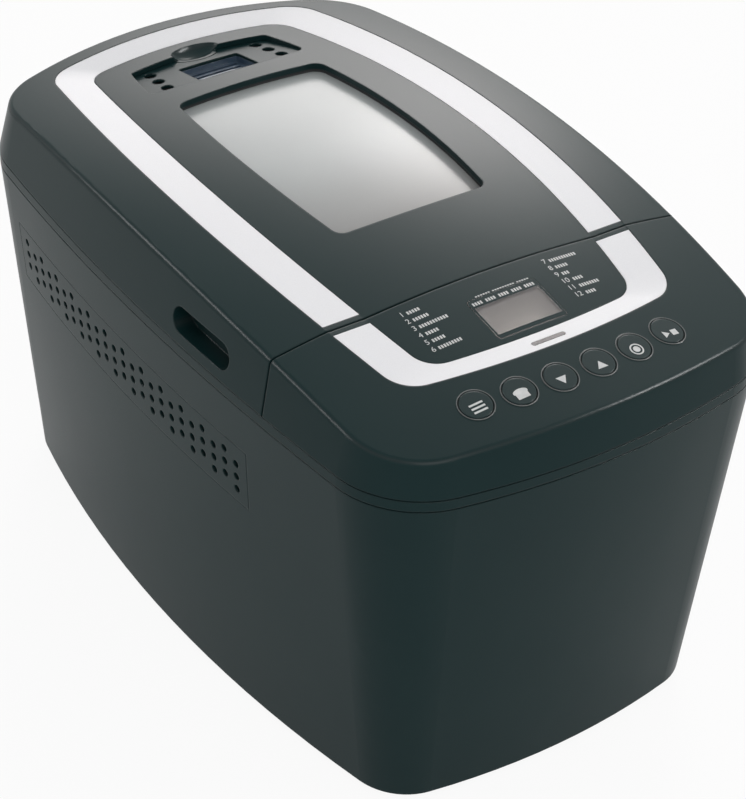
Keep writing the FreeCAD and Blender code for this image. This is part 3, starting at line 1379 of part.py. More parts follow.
node("drive_coupling", coupling("DriveCoupling", COUPLING_LOW, DOGS_LOW, True))
node("pan_coupling", coupling("PanCoupling", PAN_COUPLING_LOW, PAN_DOGS_LOW, False))
doc.recompute()


# Bread pan: a tapered tub with a rolled lip, on a round foot.
def draw_pan(sketch, margin):
    draw_round_rectangle(sketch, f"(pan_half_width + {margin})", f"(pan_half_length + {margin})",
                         f"(pan_corner + {margin})", y="chamber_centre")


def pan_loft(name, low, low_margin, high, high_margin):
    body = new_body(name)
    sections = []
    for level, margin in ((low, low_margin), (high, high_margin)):
        sketch = new_sketch(body, "XY_Plane", level)
        draw_pan(sketch, margin)
        sections.append(sketch)
    return join_sections(body, sections)


pan_outer = pan_loft("PanOuter", PAN_FLOOR, "-pan_taper", PAN_TOP, "0")
pan_inner = pan_loft("PanInner", f"{PAN_FLOOR} + pan_sheet", "-pan_taper - pan_sheet", PAN_TOP,
                     "-pan_sheet")
pan_lip = prism("PanLip", lambda s: draw_pan(s, "pan_lip"), f"{PAN_TOP} - pan_lip_height", "pan_lip_height")
pan_bore = rod("PanBore", "pan_bearing_radius + running_gap", "2 * pan_sheet", "0", "chamber_centre",
               f"{PAN_FLOOR} - pan_sheet / 2")
node("bread_pan", cut("BreadPan", fuse("PanStock", pan_outer, pan_lip), pan_inner, pan_bore))
FOOT_INSIDE, FOOT_HOLE = "pan_foot_radius - pan_foot_wall", "coupling_radius + pan_foot_wall"
FOOT_ROOF = f"{PAN_FLOOR} - pan_foot_wall"
node("pan_foot", turned("PanFoot", [
    (FOOT_INSIDE, CHAMBER_FLOOR), ("pan_foot_radius", CHAMBER_FLOOR), ("pan_foot_radius", PAN_FLOOR),
    (FOOT_HOLE, PAN_FLOOR), (FOOT_HOLE, FOOT_ROOF), (FOOT_INSIDE, FOOT_ROOF)], y="chamber_centre"))
BEARING_LOW = f"({PAN_COUPLING_LOW} + coupling_disc + moving_gap)"
BEARING_TOP = f"({PAN_FLOOR} + pan_sheet + pan_bearing_rise)"
node("pan_bearing", turned("PanBearing", [
    (SHAFT_BORE, BEARING_LOW), ("coupling_radius", BEARING_LOW), ("coupling_radius", PAN_FLOOR),
    ("pan_bearing_radius", PAN_FLOOR), ("pan_bearing_radius", BEARING_TOP), (SHAFT_BORE, BEARING_TOP)],
    y="chamber_centre"))

# Paddle on the pan's own shaft: a tapered hub with one swept blade.
PADDLE_LOW = f"({BEARING_TOP} + moving_gap)"
HUB_TOP = f"({PADDLE_LOW} + paddle_hub_height)"
SOCKET_DEPTH = "(paddle_hub_height - paddle_cap)"
node("pan_shaft", rod("PanShaft", "spindle_radius", f"{PADDLE_LOW} + {SOCKET_DEPTH} - {PAN_COUPLING_LOW}",
                      "0", "chamber_centre", PAN_COUPLING_LOW))
paddle_hub = turned("PaddleHub", [
    ("0", PADDLE_LOW), ("paddle_hub_radius", PADDLE_LOW),
    ("paddle_hub_radius - paddle_hub_taper", HUB_TOP), ("0", HUB_TOP)], y="chamber_centre")
paddle_blade = prism("PaddleBlade", lambda s: draw_polygon(s, [
    ("0", PADDLE_LOW), ("paddle_reach", PADDLE_LOW), ("paddle_reach", f"{PADDLE_LOW} + paddle_tip_height"),
    ("paddle_reach / 2", f"{PADDLE_LOW} + paddle_blade_height"),
    ("0", f"{PADDLE_LOW} + paddle_blade_height")]),
    "-chamber_centre - paddle_blade_thickness / 2", "paddle_blade_thickness", "XZ_Plane")
shaft_socket = rod("ShaftSocket", SHAFT_BORE, f"{SOCKET_DEPTH} + running_gap", "0", "chamber_centre",
                   PADDLE_LOW)
paddle_built = fuse("PaddleBuilt", paddle_hub, paddle_blade)
node("kneading_paddle", cut("KneadingPaddle", paddle_built, shaft_socket))


# Bail handle: a wire that hangs in two brackets and folds down along one side of the pan.
def bracket(name, end):
    limits = (f"{end} * {BRACKET_PLACE}", f"{end} * ({BRACKET_PLACE} + bracket_sheet)")
    inner, outer = sorted(limits, key=number)
    plate = block(f"{name}Plate", ("-bracket_half_width", "bracket_half_width"),
                  (f"chamber_centre + {inner}", f"chamber_centre + {outer}"),
                  (f"{PAN_TOP} - bracket_drop", f"{PAN_TOP} + bracket_rise"))
    hole = rod(f"{name}Hole", "bail_radius + bracket_gap", "4 * bracket_sheet", "0",
               f"chamber_centre + {inner} - bracket_sheet", BAIL_LEVEL, axis="Y")
    return cut(name, plate, hole)


node("handle_brackets", group_of("HandleBrackets", [bracket("BracketFront", -1), bracket("BracketRear", 1)]))
BAIL_ARM = f"({BRACKET_PLACE} + bracket_sheet + bail_radius + bracket_gap)"
BAIL_END = f"({BRACKET_PLACE} - bail_radius)"
bail_corners = [(x, f"chamber_centre + ({y})") for x, y in (
    ("0", f"-{BAIL_END}"), ("0", f"-{BAIL_ARM}"), ("bail_reach", f"-{BAIL_ARM}"),
    ("bail_reach", BAIL_ARM), ("0", BAIL_ARM), ("0", BAIL_END))]
bail_bends = ["bail_stub_bend", "bail_bend", "bail_bend", "bail_stub_bend"]
node("pan_handle", bent_bar("Bail", "bail_radius", BAIL_LEVEL, bail_corners, bail_bends))
doc.recompute()

# Power board hung from the deck, with its transformer, capacitors and relay.
BOARD_FACE = "(power_place + board_thickness)"
node("power_board", block("PowerBoard", ("-power_half_width", "power_half_width"),
                          ("power_place", BOARD_FACE), (f"{DECK_UNDER} - power_height", DECK_UNDER)))


def component(name, part):
    """A box on the face of the power board, in the middle of its height."""
    across, level = f"{part}_column", f"({DECK_UNDER} - power_height / 2)"
    return block(name, (f"{across} - {part}_width / 2", f"{across} + {part}_width / 2"),
                 (BOARD_FACE, f"{BOARD_FACE} + {part}_depth"),
                 (f"{level} - {part}_height / 2", f"{level} + {part}_height / 2"))


capacitors = [rod(f"Capacitor{step}", "capacitor_radius", "capacitor_length", "capacitor_column", BOARD_FACE,
                  f"{DECK_UNDER} - power_height / 2 + {step} * capacitor_pitch / 2", axis="Y")
              for step in (-1, 1)]
node("board_components", group_of("BoardComponents", [
    component("Transformer", "transformer"), component("Relay", "relay"), *capacitors]))

# Mains inlet: a bush through the back wall, with a flange inside and a neck outside.
inlet_stock = turned("InletStock", [
    ("inlet_bore", "-inlet_neck_length"), ("inlet_neck", "-inlet_neck_length"), ("inlet_neck", "0"),
    ("inlet_radius", "0"), ("inlet_radius", "inlet_flange"), ("inlet_bore", "inlet_flange")],
    "inlet_place", "base_half_length - inlet_setback", "inlet_level")
turn(inlet_stock, FreeCAD.Vector(1, 0, 0), -90)
node("cord_gland", cut("CordGland", inlet_stock, body_shell))

doc.recompute()
faults = [item.Name for item in doc.Objects if {"Invalid", "Error"} & set(item.State)]
faults += [label for label, item in NODES.items() if item.Shape.isNull() or not item.Shape.isValid()]
if faults:
    raise RuntimeError(f"failed objects: {faults}")
os.makedirs("parts", exist_ok=True)
for label, item in NODES.items():
    item.Shape.exportStep(f"parts/{label}.step")
print(len(NODES), "pieces written")
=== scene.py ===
import math

import bpy
from mathutils import Matrix, Vector


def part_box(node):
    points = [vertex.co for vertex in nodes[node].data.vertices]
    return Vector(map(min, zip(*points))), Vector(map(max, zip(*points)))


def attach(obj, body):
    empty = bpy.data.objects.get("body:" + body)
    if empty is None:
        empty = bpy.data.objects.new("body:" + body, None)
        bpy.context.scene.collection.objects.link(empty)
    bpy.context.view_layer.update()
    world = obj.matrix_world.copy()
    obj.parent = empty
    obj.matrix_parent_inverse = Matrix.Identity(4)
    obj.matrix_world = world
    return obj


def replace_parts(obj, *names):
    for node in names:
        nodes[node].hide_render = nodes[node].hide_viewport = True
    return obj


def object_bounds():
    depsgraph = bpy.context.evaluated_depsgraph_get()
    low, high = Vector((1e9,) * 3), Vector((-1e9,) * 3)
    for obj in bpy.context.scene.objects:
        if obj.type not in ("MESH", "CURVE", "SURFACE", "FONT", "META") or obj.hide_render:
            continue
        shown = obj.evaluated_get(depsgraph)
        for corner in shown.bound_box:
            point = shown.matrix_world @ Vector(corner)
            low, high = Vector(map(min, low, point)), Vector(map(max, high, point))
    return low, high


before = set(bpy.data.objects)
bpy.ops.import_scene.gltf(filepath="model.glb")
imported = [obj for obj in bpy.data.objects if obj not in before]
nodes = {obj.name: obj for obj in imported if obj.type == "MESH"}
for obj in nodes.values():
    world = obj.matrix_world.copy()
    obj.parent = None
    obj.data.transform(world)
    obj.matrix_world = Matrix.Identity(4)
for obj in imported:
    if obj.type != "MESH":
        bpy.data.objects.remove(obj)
cad_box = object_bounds()

# Rubber feet: four moulded nitrile buttons that plug into the base plate and carry the machine.
# The mould leaves them dull and finely pitted.
# The belt, the cord bush and the window seal are the same rubber.
RUBBER = (0.016, 0.016, 0.017, 1)
RUBBER_BLOOM = (0.034, 0.034, 0.035, 1)
CLOUD_DETAIL = 4
CLOUD_START, CLOUD_END = 0.3, 0.75
SHEEN_SPREAD = 0.06
EDGE_SAMPLES = 4


def new_material(name, roughness, metallic=0.0, gloss=0.5):
    """A node material with its shader and the object's own coordinates."""
    material = bpy.data.materials.new(name)
    material.use_nodes = True
    tree = material.node_tree
    shader = tree.nodes["Principled BSDF"]
    shader.inputs["Roughness"].default_value = roughness
    shader.inputs["Metallic"].default_value = metallic
    shader.inputs["Specular IOR Level"].default_value = gloss
    place = tree.nodes.new("ShaderNodeTexCoord").outputs["Object"]
    return material, tree, shader, place


def stretched(tree, place, stretch):
    """The object's coordinates scaled apart along each axis, for grain that runs one way."""
    mapping = tree.nodes.new("ShaderNodeMapping")
    mapping.inputs["Scale"].default_value = stretch
    tree.links.new(place, mapping.inputs["Vector"])
    return mapping.outputs["Vector"]


def add_noise(tree, place, per_metre, detail=2):
    """Cloudy noise, with about so many clouds to the metre."""
    noise = tree.nodes.new("ShaderNodeTexNoise")
    noise.inputs["Scale"].default_value = per_metre
    noise.inputs["Detail"].default_value = detail
    tree.links.new(place, noise.inputs["Vector"])
    return noise.outputs["Fac"]


def add_ramp(tree, factor, low, high, start, end):
    """Blends two colours over a stretch of the factor."""
    ramp = tree.nodes.new("ShaderNodeValToRGB")
    ramp.color_ramp.elements[0].position = start
    ramp.color_ramp.elements[0].color = low
    ramp.color_ramp.elements[1].position = end
    ramp.color_ramp.elements[1].color = high
    tree.links.new(factor, ramp.inputs["Fac"])
    return ramp.outputs["Color"]


def add_range(tree, factor, low, high):
    """Maps a factor of 0 to 1 to a span of values."""
    spread = tree.nodes.new("ShaderNodeMapRange")
    spread.inputs["To Min"].default_value = low
    spread.inputs["To Max"].default_value = high
    tree.links.new(factor, spread.inputs["Value"])
    return spread.outputs["Result"]


def colour_by(tree, shader, factor, low, high, start=0.35, end=0.65):
    """Colours a surface between two tones by a factor."""
    tree.links.new(add_ramp(tree, factor, low, high, start, end), shader.inputs["Base Color"])


def sheen_by(tree, shader, factor, low, high):
    """Spreads a surface's roughness over a span by a factor."""
    tree.links.new(add_range(tree, factor, low, high), shader.inputs["Roughness"])


def add_bump(tree, shader, height, depth, rounding=0.0):
    """Fine relief, and a small radius on every edge where one is given."""
    bump = tree.nodes.new("ShaderNodeBump")
    bump.inputs["Distance"].default_value = depth
    tree.links.new(height, bump.inputs["Height"])
    tree.links.new(bump.outputs["Normal"], shader.inputs["Normal"])
    if rounding:
        edge = tree.nodes.new("ShaderNodeBevel")
        edge.samples = EDGE_SAMPLES
        edge.inputs["Radius"].default_value = rounding
        tree.links.new(edge.outputs["Normal"], bump.inputs["Normal"])


def grained(name, low, high, roughness, grain_per_metre, depth, metallic=0.0, gloss=0.5,
            flow_per_metre=14, stretch=(1, 1, 1), rounding=0.0):
    """A finish with cloudy colour and sheen over a fine grain."""
    material, tree, shader, place = new_material(name, roughness, metallic, gloss)
    cloud = add_noise(tree, place, flow_per_metre, CLOUD_DETAIL)
    grain = add_noise(tree, stretched(tree, place, stretch), grain_per_metre)
    colour_by(tree, shader, cloud, low, high, CLOUD_START, CLOUD_END)
    sheen_by(tree, shader, grain, roughness - SHEEN_SPREAD, roughness + SHEEN_SPREAD)
    add_bump(tree, shader, grain, depth, rounding)
    return material


def paint(material, *names):
    """Gives CAD nodes a finish."""
    for name in names:
        nodes[name].material_slots[0].material = material


rubber_black = grained("rubber_black", RUBBER, RUBBER_BLOOM, roughness=0.78, gloss=0.3,
                       grain_per_metre=1800, depth=0.00006, flow_per_metre=60)
paint(rubber_black, "rubber_feet", "window_gasket", "drive_belt", "cord_gland")

# Base plate, body shell, deck, control panel and lid: injection-moulded ABS in one charcoal black.
# The tool is spark-eroded, so every face has the same fine pebble grain and a low satin sheen.
# The parts are fixed from inside, so only seams show, and one crown runs over the lid and the panel.
CHARCOAL = (0.0042, 0.0196, 0.0208, 1)
CHARCOAL_WORN = (0.0066, 0.0226, 0.0236, 1)
EDGE_RADIUS = 0.0010
CROWN_ACROSS, CROWN_ALONG = 0.690, 0.880
CROWN_MIDDLE = 0.015
ON_CROWN, OFF_CROWN = math.cos(math.radians(3)), math.cos(math.radians(4))
# Paler colour of the rounded upper edges: a painted highlight.
EDGE_HIGHLIGHT = (0.016, 0.028, 0.029, 1)
RUBBED_ROUGHNESS = 0.20
RUB_AND_HIGHLIGHT_ENDS = ((0.0, 0.0), (1.0, 0.0))
RUB_AND_HIGHLIGHT_RISE = ((0.30, 0.0), (0.65, 1.0), (0.93, 0.0))


def add_turn(tree, normal, start, end):
    """A normal carried over from one space to another."""
    turn = tree.nodes.new("ShaderNodeVectorTransform")
    turn.vector_type = "NORMAL"
    turn.convert_from, turn.convert_to = start, end
    tree.links.new(normal, turn.inputs["Vector"])
    return turn.outputs["Vector"]


def add_mix(tree, kind, factor, first):
    """A blend from a first value: gives the socket for the second value, and the result."""
    mix = tree.nodes.new("ShaderNodeMix")
    mix.data_type = kind
    amount, own, other = [socket for socket in mix.inputs if socket.enabled]
    result = next(socket for socket in mix.outputs if socket.enabled)
    tree.links.new(factor, amount)
    tree.links.new(first, own)
    return other, result


def follow_crown(material):
    """Gives every face that follows the crown the crown's own smooth lie, worked out from its radii."""
    tree = material.node_tree
    lean = tree.nodes.new("ShaderNodeVectorMath")
    lean.operation = "MULTIPLY_ADD"
    lean.inputs[1].default_value = (1 / CROWN_ACROSS, 1 / CROWN_ALONG, 0)
    lean.inputs[2].default_value = (0, -CROWN_MIDDLE / CROWN_ALONG, 1)
    tree.links.new(tree.nodes["Texture Coordinate"].outputs["Object"], lean.inputs[0])
    lie = add_turn(tree, lean.outputs["Vector"], "OBJECT", "WORLD")
    face = tree.nodes.new("ShaderNodeNewGeometry")
    likeness = tree.nodes.new("ShaderNodeVectorMath")
    likeness.operation = "DOT_PRODUCT"
    tree.links.new(face.outputs["True Normal"], likeness.inputs[0])
    tree.links.new(lie, likeness.inputs[1])
    follows = tree.nodes.new("ShaderNodeMapRange")
    follows.inputs["From Min"].default_value = OFF_CROWN
    follows.inputs["From Max"].default_value = ON_CROWN
    tree.links.new(likeness.outputs["Value"], follows.inputs["Value"])
    other, chosen = add_mix(tree, "VECTOR", follows.outputs["Result"], face.outputs["Normal"])
    tree.links.new(lie, other)
    tree.links.new(chosen, tree.nodes["Bevel"].inputs["Normal"])


def rub_edges(material):
    """Smooths rounded upper edges, polished by hands and cloths, and paints a highlight on them in a paler
    colour.
    """
    tree = material.node_tree
    shader = tree.nodes["Principled BSDF"]
    own_lie = add_turn(tree, tree.nodes["Bevel"].outputs["Normal"], "WORLD", "OBJECT")
    upward = tree.nodes.new("ShaderNodeSeparateXYZ")
    tree.links.new(own_lie, upward.inputs["Vector"])
    edge = tree.nodes.new("ShaderNodeFloatCurve")
    edge_curve = edge.mapping.curves[0]
    for point, end in zip(edge_curve.points, RUB_AND_HIGHLIGHT_ENDS):
        point.location = end
    for facing_up, edge_share in RUB_AND_HIGHLIGHT_RISE:
        edge_curve.points.new(facing_up, edge_share)
    edge.mapping.update()
    tree.links.new(upward.outputs["Z"], edge.inputs["Value"])
    for name, edge_value, kind in (("Roughness", RUBBED_ROUGHNESS, "FLOAT"), ("Base Color", EDGE_HIGHLIGHT, "RGBA")):
        socket = shader.inputs[name]
        other, smoothed_and_highlit = add_mix(tree, kind, edge.outputs["Value"], socket.links[0].from_socket)
        other.default_value = edge_value
        tree.links.new(smoothed_and_highlit, socket)


housing_black = grained("housing_black", CHARCOAL, CHARCOAL_WORN, roughness=0.33, gloss=0.12,
                        grain_per_metre=2600, depth=0.000016, rounding=EDGE_RADIUS)
follow_crown(housing_black)
# The rounded upper edges get a painted highlight.
rub_edges(housing_black)
paint(housing_black, "body_shell", "top_deck", "control_panel", "lid_cover", "vent_grille_left",
      "vent_grille_right", "base_plate")

# Screws, spindles, hinge pins, pan handle and its brackets: turned or drawn steel.
# The lathe leaves fine rings round the rods, and the screws are bright with zinc.
STEEL = (0.50, 0.50, 0.51, 1)
STEEL_DULL = (0.40, 0.40, 0.405, 1)

turned_steel = grained("turned_steel", STEEL_DULL, STEEL, roughness=0.30, metallic=1.0, grain_per_metre=60,
                       depth=0.000008, flow_per_metre=90, stretch=(1, 1, 40), rounding=0.0003)
paint(turned_steel, "hinge_pins", "motor_shaft", "drive_shaft", "pan_shaft", "liner_screws", "base_screws",
      "handle_brackets", "pan_handle")

# Sockets of the base screws: the square socket for the driver bit in each pan head.
# Each is a dark square slab set into the head from below, painted shade for the inside of the socket.
RECESS_WIDTH = 0.0034
RECESS_DEPTH = 0.0006
RECESS_PROUD = 0.00005
SCREW_HEAD = 0.0064
MOULDED_DARK_AND_RECESS_SHADE = (0.012, 0.012, 0.013, 1)
MOULDED_PALE_AND_RECESS_SHADE = (0.022, 0.022, 0.023, 1)


def select_only(piece):
    """Makes a piece the one that the operators act on."""
    bpy.ops.object.select_all(action="DESELECT")
    bpy.context.view_layer.objects.active = piece
    piece.select_set(True)


def finish_with(piece, kind, **settings):
    """Adds one modifier and applies it."""
    select_only(piece)
    modifier = piece.modifiers.new(kind.lower(), kind)
    for key, value in settings.items():
        setattr(modifier, key, value)
    bpy.ops.object.modifier_apply(modifier=modifier.name)


def settle():
    """Puts the place, turn and scale of what is selected into its mesh."""
    bpy.ops.object.transform_apply(location=True, rotation=True, scale=True)


def joined(name, pieces, material, body):
    """Pieces made one mesh at the origin, painted and tied to the body they move with."""
    select_only(pieces[0])
    for piece in pieces:
        piece.select_set(True)
    bpy.ops.object.join()
    whole = bpy.context.object
    whole.name = name
    settle()
    whole.data.materials.clear()
    whole.data.materials.append(material)
    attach(whole, body)
    return whole


def square_recess(x, y, level):
    """One dark square under a screw head: painted shade for its socket."""
    bpy.ops.object.select_all(action="DESELECT")
    bpy.ops.mesh.primitive_plane_add(size=RECESS_WIDTH, location=(x, y, level))
    shade_square = bpy.context.object
    settle()
    finish_with(shade_square, "SOLIDIFY", thickness=RECESS_DEPTH, offset=0)
    return shade_square


def head_recesses(name, screws, body, material):
    """A dark square of painted shade for the socket under the head of each of four screws at the corners of
    their node's box.
    """
    low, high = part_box(screws)
    inset = SCREW_HEAD / 2
    level = low[2] + RECESS_DEPTH / 2 - RECESS_PROUD
    shade_squares = [square_recess(x, y, level) for x in (low[0] + inset, high[0] - inset)
                for y in (low[1] + inset, high[1] - inset)]
    return joined(name, shade_squares, material, body)


# Black of the moulded switches and components; on the screw-socket squares the same dark is painted shade.
component_dark = grained("component_dark", MOULDED_DARK_AND_RECESS_SHADE, MOULDED_PALE_AND_RECESS_SHADE, roughness=0.5, gloss=0.4,
                         grain_per_metre=2200, depth=0.00003, flow_per_metre=40)
head_recesses("base_screw_recess_shades", "base_screws", "housing", component_dark)

# Chassis plate, pan clips and sensor pocket: pressed from galvanised sheet and spot-welded or riveted.
# The zinc freezes in crystals a few millimetres across, each with its own grey.
ZINC = (0.36, 0.37, 0.38, 1)
ZINC_BRIGHT = (0.56, 0.57, 0.58, 1)
CRYSTALS_PER_METRE = 160

sheet_steel, tree, shader, place = new_material("sheet_steel", roughness=0.42, metallic=1.0)
crystals = tree.nodes.new("ShaderNodeTexVoronoi")
crystals.inputs["Scale"].default_value = CRYSTALS_PER_METRE
tree.links.new(place, crystals.inputs["Vector"])
tone = tree.nodes.new("ShaderNodeSeparateColor")
tree.links.new(crystals.outputs["Color"], tone.inputs["Color"])
colour_by(tree, shader, tone.outputs["Red"], ZINC, ZINC_BRIGHT, start=0.1, end=0.9)
sheen_by(tree, shader, tone.outputs["Green"], low=0.34, high=0.5)
add_bump(tree, shader, add_noise(tree, place, per_metre=900), depth=0.00001, rounding=0.0003)
paint(sheet_steel, "chassis_plate", "pan_clips", "temperature_sensor")

# Motor: a stack of steel stampings between end shields, under a grey stoving lacquer.
# The edges of the stampings show as fine level lines round the case.
LACQUER = (0.24, 0.24, 0.245, 1)
LACQUER_DARK = (0.16, 0.16, 0.165, 1)
STACK_WAVE_SCALE = 143.3

motor_steel, tree, shader, place = new_material("motor_steel", roughness=0.48, metallic=0.55)
stamping = tree.nodes.new("ShaderNodeTexWave")
stamping.bands_direction = "Z"
stamping.inputs["Scale"].default_value = STACK_WAVE_SCALE
stamping.inputs["Distortion"].default_value = 0.4
tree.links.new(place, stamping.inputs["Vector"])
colour_by(tree, shader, add_noise(tree, place, per_metre=30, detail=4), LACQUER_DARK, LACQUER)
add_bump(tree, shader, stamping.outputs["Fac"], depth=0.00008)
paint(motor_steel, "motor_body")

# Pulleys and cooling fan: moulded in natural nylon, which stays a little cloudy and yellows with heat.
# They are pressed onto flats on their spindles.
NYLON = (0.62, 0.60, 0.52, 1)
NYLON_AGED = (0.54, 0.50, 0.40, 1)

drive_plastic = grained("drive_plastic", NYLON_AGED, NYLON, roughness=0.46, grain_per_metre=1500,
                        depth=0.00002, flow_per_metre=50, rounding=0.0004)
paint(drive_plastic, "motor_pulley", "drive_pulley", "motor_fan")

# Bearing housings, pan foot and dog couplings: pressure die-cast alloy, shot-blasted after casting.
# Their skin is a fine even dimple.
CAST = (0.42, 0.42, 0.43, 1)
CAST_DARK = (0.31, 0.31, 0.32, 1)

cast_alloy = grained("cast_alloy", CAST_DARK, CAST, roughness=0.46, metallic=1.0, grain_per_metre=1400,
                     depth=0.00006, flow_per_metre=40, rounding=0.0004)
paint(cast_alloy, "pan_foot", "pan_bearing", "drive_bearing", "drive_coupling", "pan_coupling")

# Baking chamber and the lid's inner cover: deep-drawn aluminium sheet with a satin face.
# The draw leaves upright streaks, and heat leaves faint straw-coloured clouds.
# The inner cover's four screws have the same painted-shade socket squares as those of the base.
ALUMINIUM = (0.60, 0.60, 0.60, 1)
ALUMINIUM_STRAW = (0.53, 0.50, 0.46, 1)

liner_alu = grained("liner_alu", ALUMINIUM, ALUMINIUM_STRAW, roughness=0.36, metallic=1.0, grain_per_metre=40,
                    depth=0.00001, flow_per_metre=18, stretch=(30, 30, 1), rounding=0.0004)
paint(liner_alu, "chamber_liner", "lid_liner")
head_recesses("liner_screw_recess_shades", "liner_screws", "lid", component_dark)

# Heating element: a sheathed tube bent to a loop, blued and browned by its own heat.
# Its two cold ends pass through bushes in the front wall of the chamber.
BLUED = (0.075, 0.07, 0.085, 1)
BROWNED = (0.20, 0.155, 0.12, 1)

heater_steel, tree, shader, place = new_material("heater_steel", roughness=0.44, metallic=0.9)
colour_by(tree, shader, add_noise(tree, place, per_metre=26, detail=3), BLUED, BROWNED)
fire_scale = add_noise(tree, place, per_metre=1500, detail=3)
sheen_by(tree, shader, fire_scale, low=0.36, high=0.56)
add_bump(tree, shader, fire_scale, depth=0.00003)
paint(heater_steel, "heating_element")

# Element bushes: pressed ceramic, fired white and left unglazed.
# They keep the hot sheath off the sheet of the chamber.
CERAMIC = (0.82, 0.80, 0.75, 1)
CERAMIC_FIRED = (0.70, 0.67, 0.60, 1)

ceramic_white = grained("ceramic_white", CERAMIC_FIRED, CERAMIC, roughness=0.38, grain_per_metre=900,
                        depth=0.00003, flow_per_metre=300)
paint(ceramic_white, "element_bushings")

# Bread pan and kneading paddle: pressed and cast aluminium under a sprayed non-stick coat.
# Pale specks are mixed into the charcoal coat.
COAT = (0.022, 0.022, 0.024, 1)
SPECK = (0.115, 0.115, 0.12, 1)

nonstick_grey, tree, shader, place = new_material("nonstick_grey", roughness=0.34, metallic=0.15)
specks = add_noise(tree, place, per_metre=900, detail=1)
colour_by(tree, shader, specks, COAT, SPECK, start=0.62, end=0.72)
orange_peel = add_noise(tree, place, per_metre=500)
sheen_by(tree, shader, orange_peel, low=0.28, high=0.42)
add_bump(tree, shader, orange_peel, depth=0.00003, rounding=0.0005)
paint(nonstick_grey, "bread_pan", "kneading_paddle")

# Control board and power board: glass-epoxy sheet with green solder mask over copper tracks.
# Tracks run along the board and show as lighter green lines.
# The switches and the other components on them are moulded in black.
SOLDER_MASK = (0.012, 0.075, 0.032, 1)
SOLDER_MASK_THIN = (0.014, 0.09, 0.04, 1)
TRACK = (0.03, 0.16, 0.07, 1)
TRACK_SCALE, TRACK_SHARE = 60, 0.03

board_green, tree, shader, place = new_material("board_green", roughness=0.36)
tracks = tree.nodes.new("ShaderNodeTexBrick")
tracks.inputs["Scale"].default_value = TRACK_SCALE
tracks.inputs["Color1"].default_value = SOLDER_MASK
tracks.inputs["Color2"].default_value = SOLDER_MASK_THIN
tracks.inputs["Mortar"].default_value = TRACK
tracks.inputs["Mortar Size"].default_value = TRACK_SHARE
tree.links.new(place, tracks.inputs["Vector"])
tree.links.new(tracks.outputs["Color"], shader.inputs["Base Color"])
add_bump(tree, shader, tracks.outputs["Fac"], depth=0.00003)
paint(board_green, "control_board", "power_board")
paint(component_dark, "tact_switches", "board_components")

# Lid trim and panel trim: two pieces of one sloping ring, moulded and painted satin silver.
# Fine flake in the lacquer breaks up the sheen; they are clipped into the recess round the field.
SILVER = (0.80, 0.81, 0.83, 1)
SILVER_SHADE = (0.735, 0.745, 0.77, 1)
FLAKES_PER_METRE = 5200

trim_silver, tree, shader, place = new_material("trim_silver", roughness=0.45, gloss=0.3)
flakes = add_noise(tree, place, FLAKES_PER_METRE, detail=1)
colour_by(tree, shader, flakes, SILVER_SHADE, SILVER)
sheen_by(tree, shader, flakes, low=0.38, high=0.54)
add_bump(tree, shader, add_noise(tree, place, per_metre=900), depth=0.00001, rounding=0.0004)
paint(trim_silver, "lid_trim", "panel_trim")

# Display: a smoke-clear acrylic cover over an unlit liquid-crystal cell on the control board.
# The cell's own dot grid just shows in its grey-brown face.
CELL = (0.100, 0.096, 0.091, 1)
CELL_DOT = (0.086, 0.083, 0.079, 1)
DOTS_PER_METRE = 1400
COVER = (0.92, 0.90, 0.88, 1)
COVER_SMOKE = (0.86, 0.84, 0.82, 1)
HAZE_SPREAD = 0.12
SHEET_IOR = 1.5

lcd_grey, tree, shader, place = new_material("lcd_grey", roughness=0.3, gloss=0.15)
dots = tree.nodes.new("ShaderNodeTexChecker")
dots.inputs["Scale"].default_value = DOTS_PER_METRE
dots.inputs["Color1"].default_value = CELL
dots.inputs["Color2"].default_value = CELL_DOT
tree.links.new(place, dots.inputs["Vector"])
tree.links.new(dots.outputs["Color"], shader.inputs["Base Color"])
sheen_by(tree, shader, add_noise(tree, place, per_metre=60, detail=3), low=0.22, high=0.4)
paint(lcd_grey, "lcd_module")


def clear_sheet(name, haze, roughness, gloss, unevenness):
    """Clear moulded or rolled sheet: part of the light passes, and a cloudy haze holds the rest."""
    material, tree, shader, place = new_material(name, roughness, gloss=gloss)
    cloud = add_noise(tree, place, per_metre=9, detail=4)
    clearness = add_range(tree, cloud, 1 - haze * (1 + HAZE_SPREAD), 1 - haze * (1 - HAZE_SPREAD))
    tree.links.new(clearness, shader.inputs["Transmission Weight"])
    ripple = add_noise(tree, place, per_metre=140, detail=3)
    sheen_by(tree, shader, ripple, roughness * (1 - unevenness), roughness * (1 + unevenness))
    shader.inputs["IOR"].default_value = SHEET_IOR
    return material, tree, shader, place


display_lens, tree, shader, place = clear_sheet("display_lens", haze=0.02, roughness=0.16, gloss=0.12,
                                                unevenness=0.3)
smoke = add_noise(tree, place, per_metre=9, detail=4)
colour_by(tree, shader, smoke, COVER_SMOKE, COVER, start=0.3, end=0.7)
paint(display_lens, "display_lens")

# Display mask: the black border printed on the cover, deeper at the top where the marks are.
# It hides the edge of the cell and the stand under it.
MASK_INSET = 0.0002
MASK_SIDE, MASK_FRONT, MASK_REAR = 0.0010, 0.0023, 0.0048
MASK_CORNER, MASK_CORNER_STEPS = 0.0019, 5
MASK_CUTS = 7
PRINT_LIFT = 0.00003
PRINT_THICKNESS = 0.00003
ABOVE_PANEL = cad_box[1][2] + 0.012

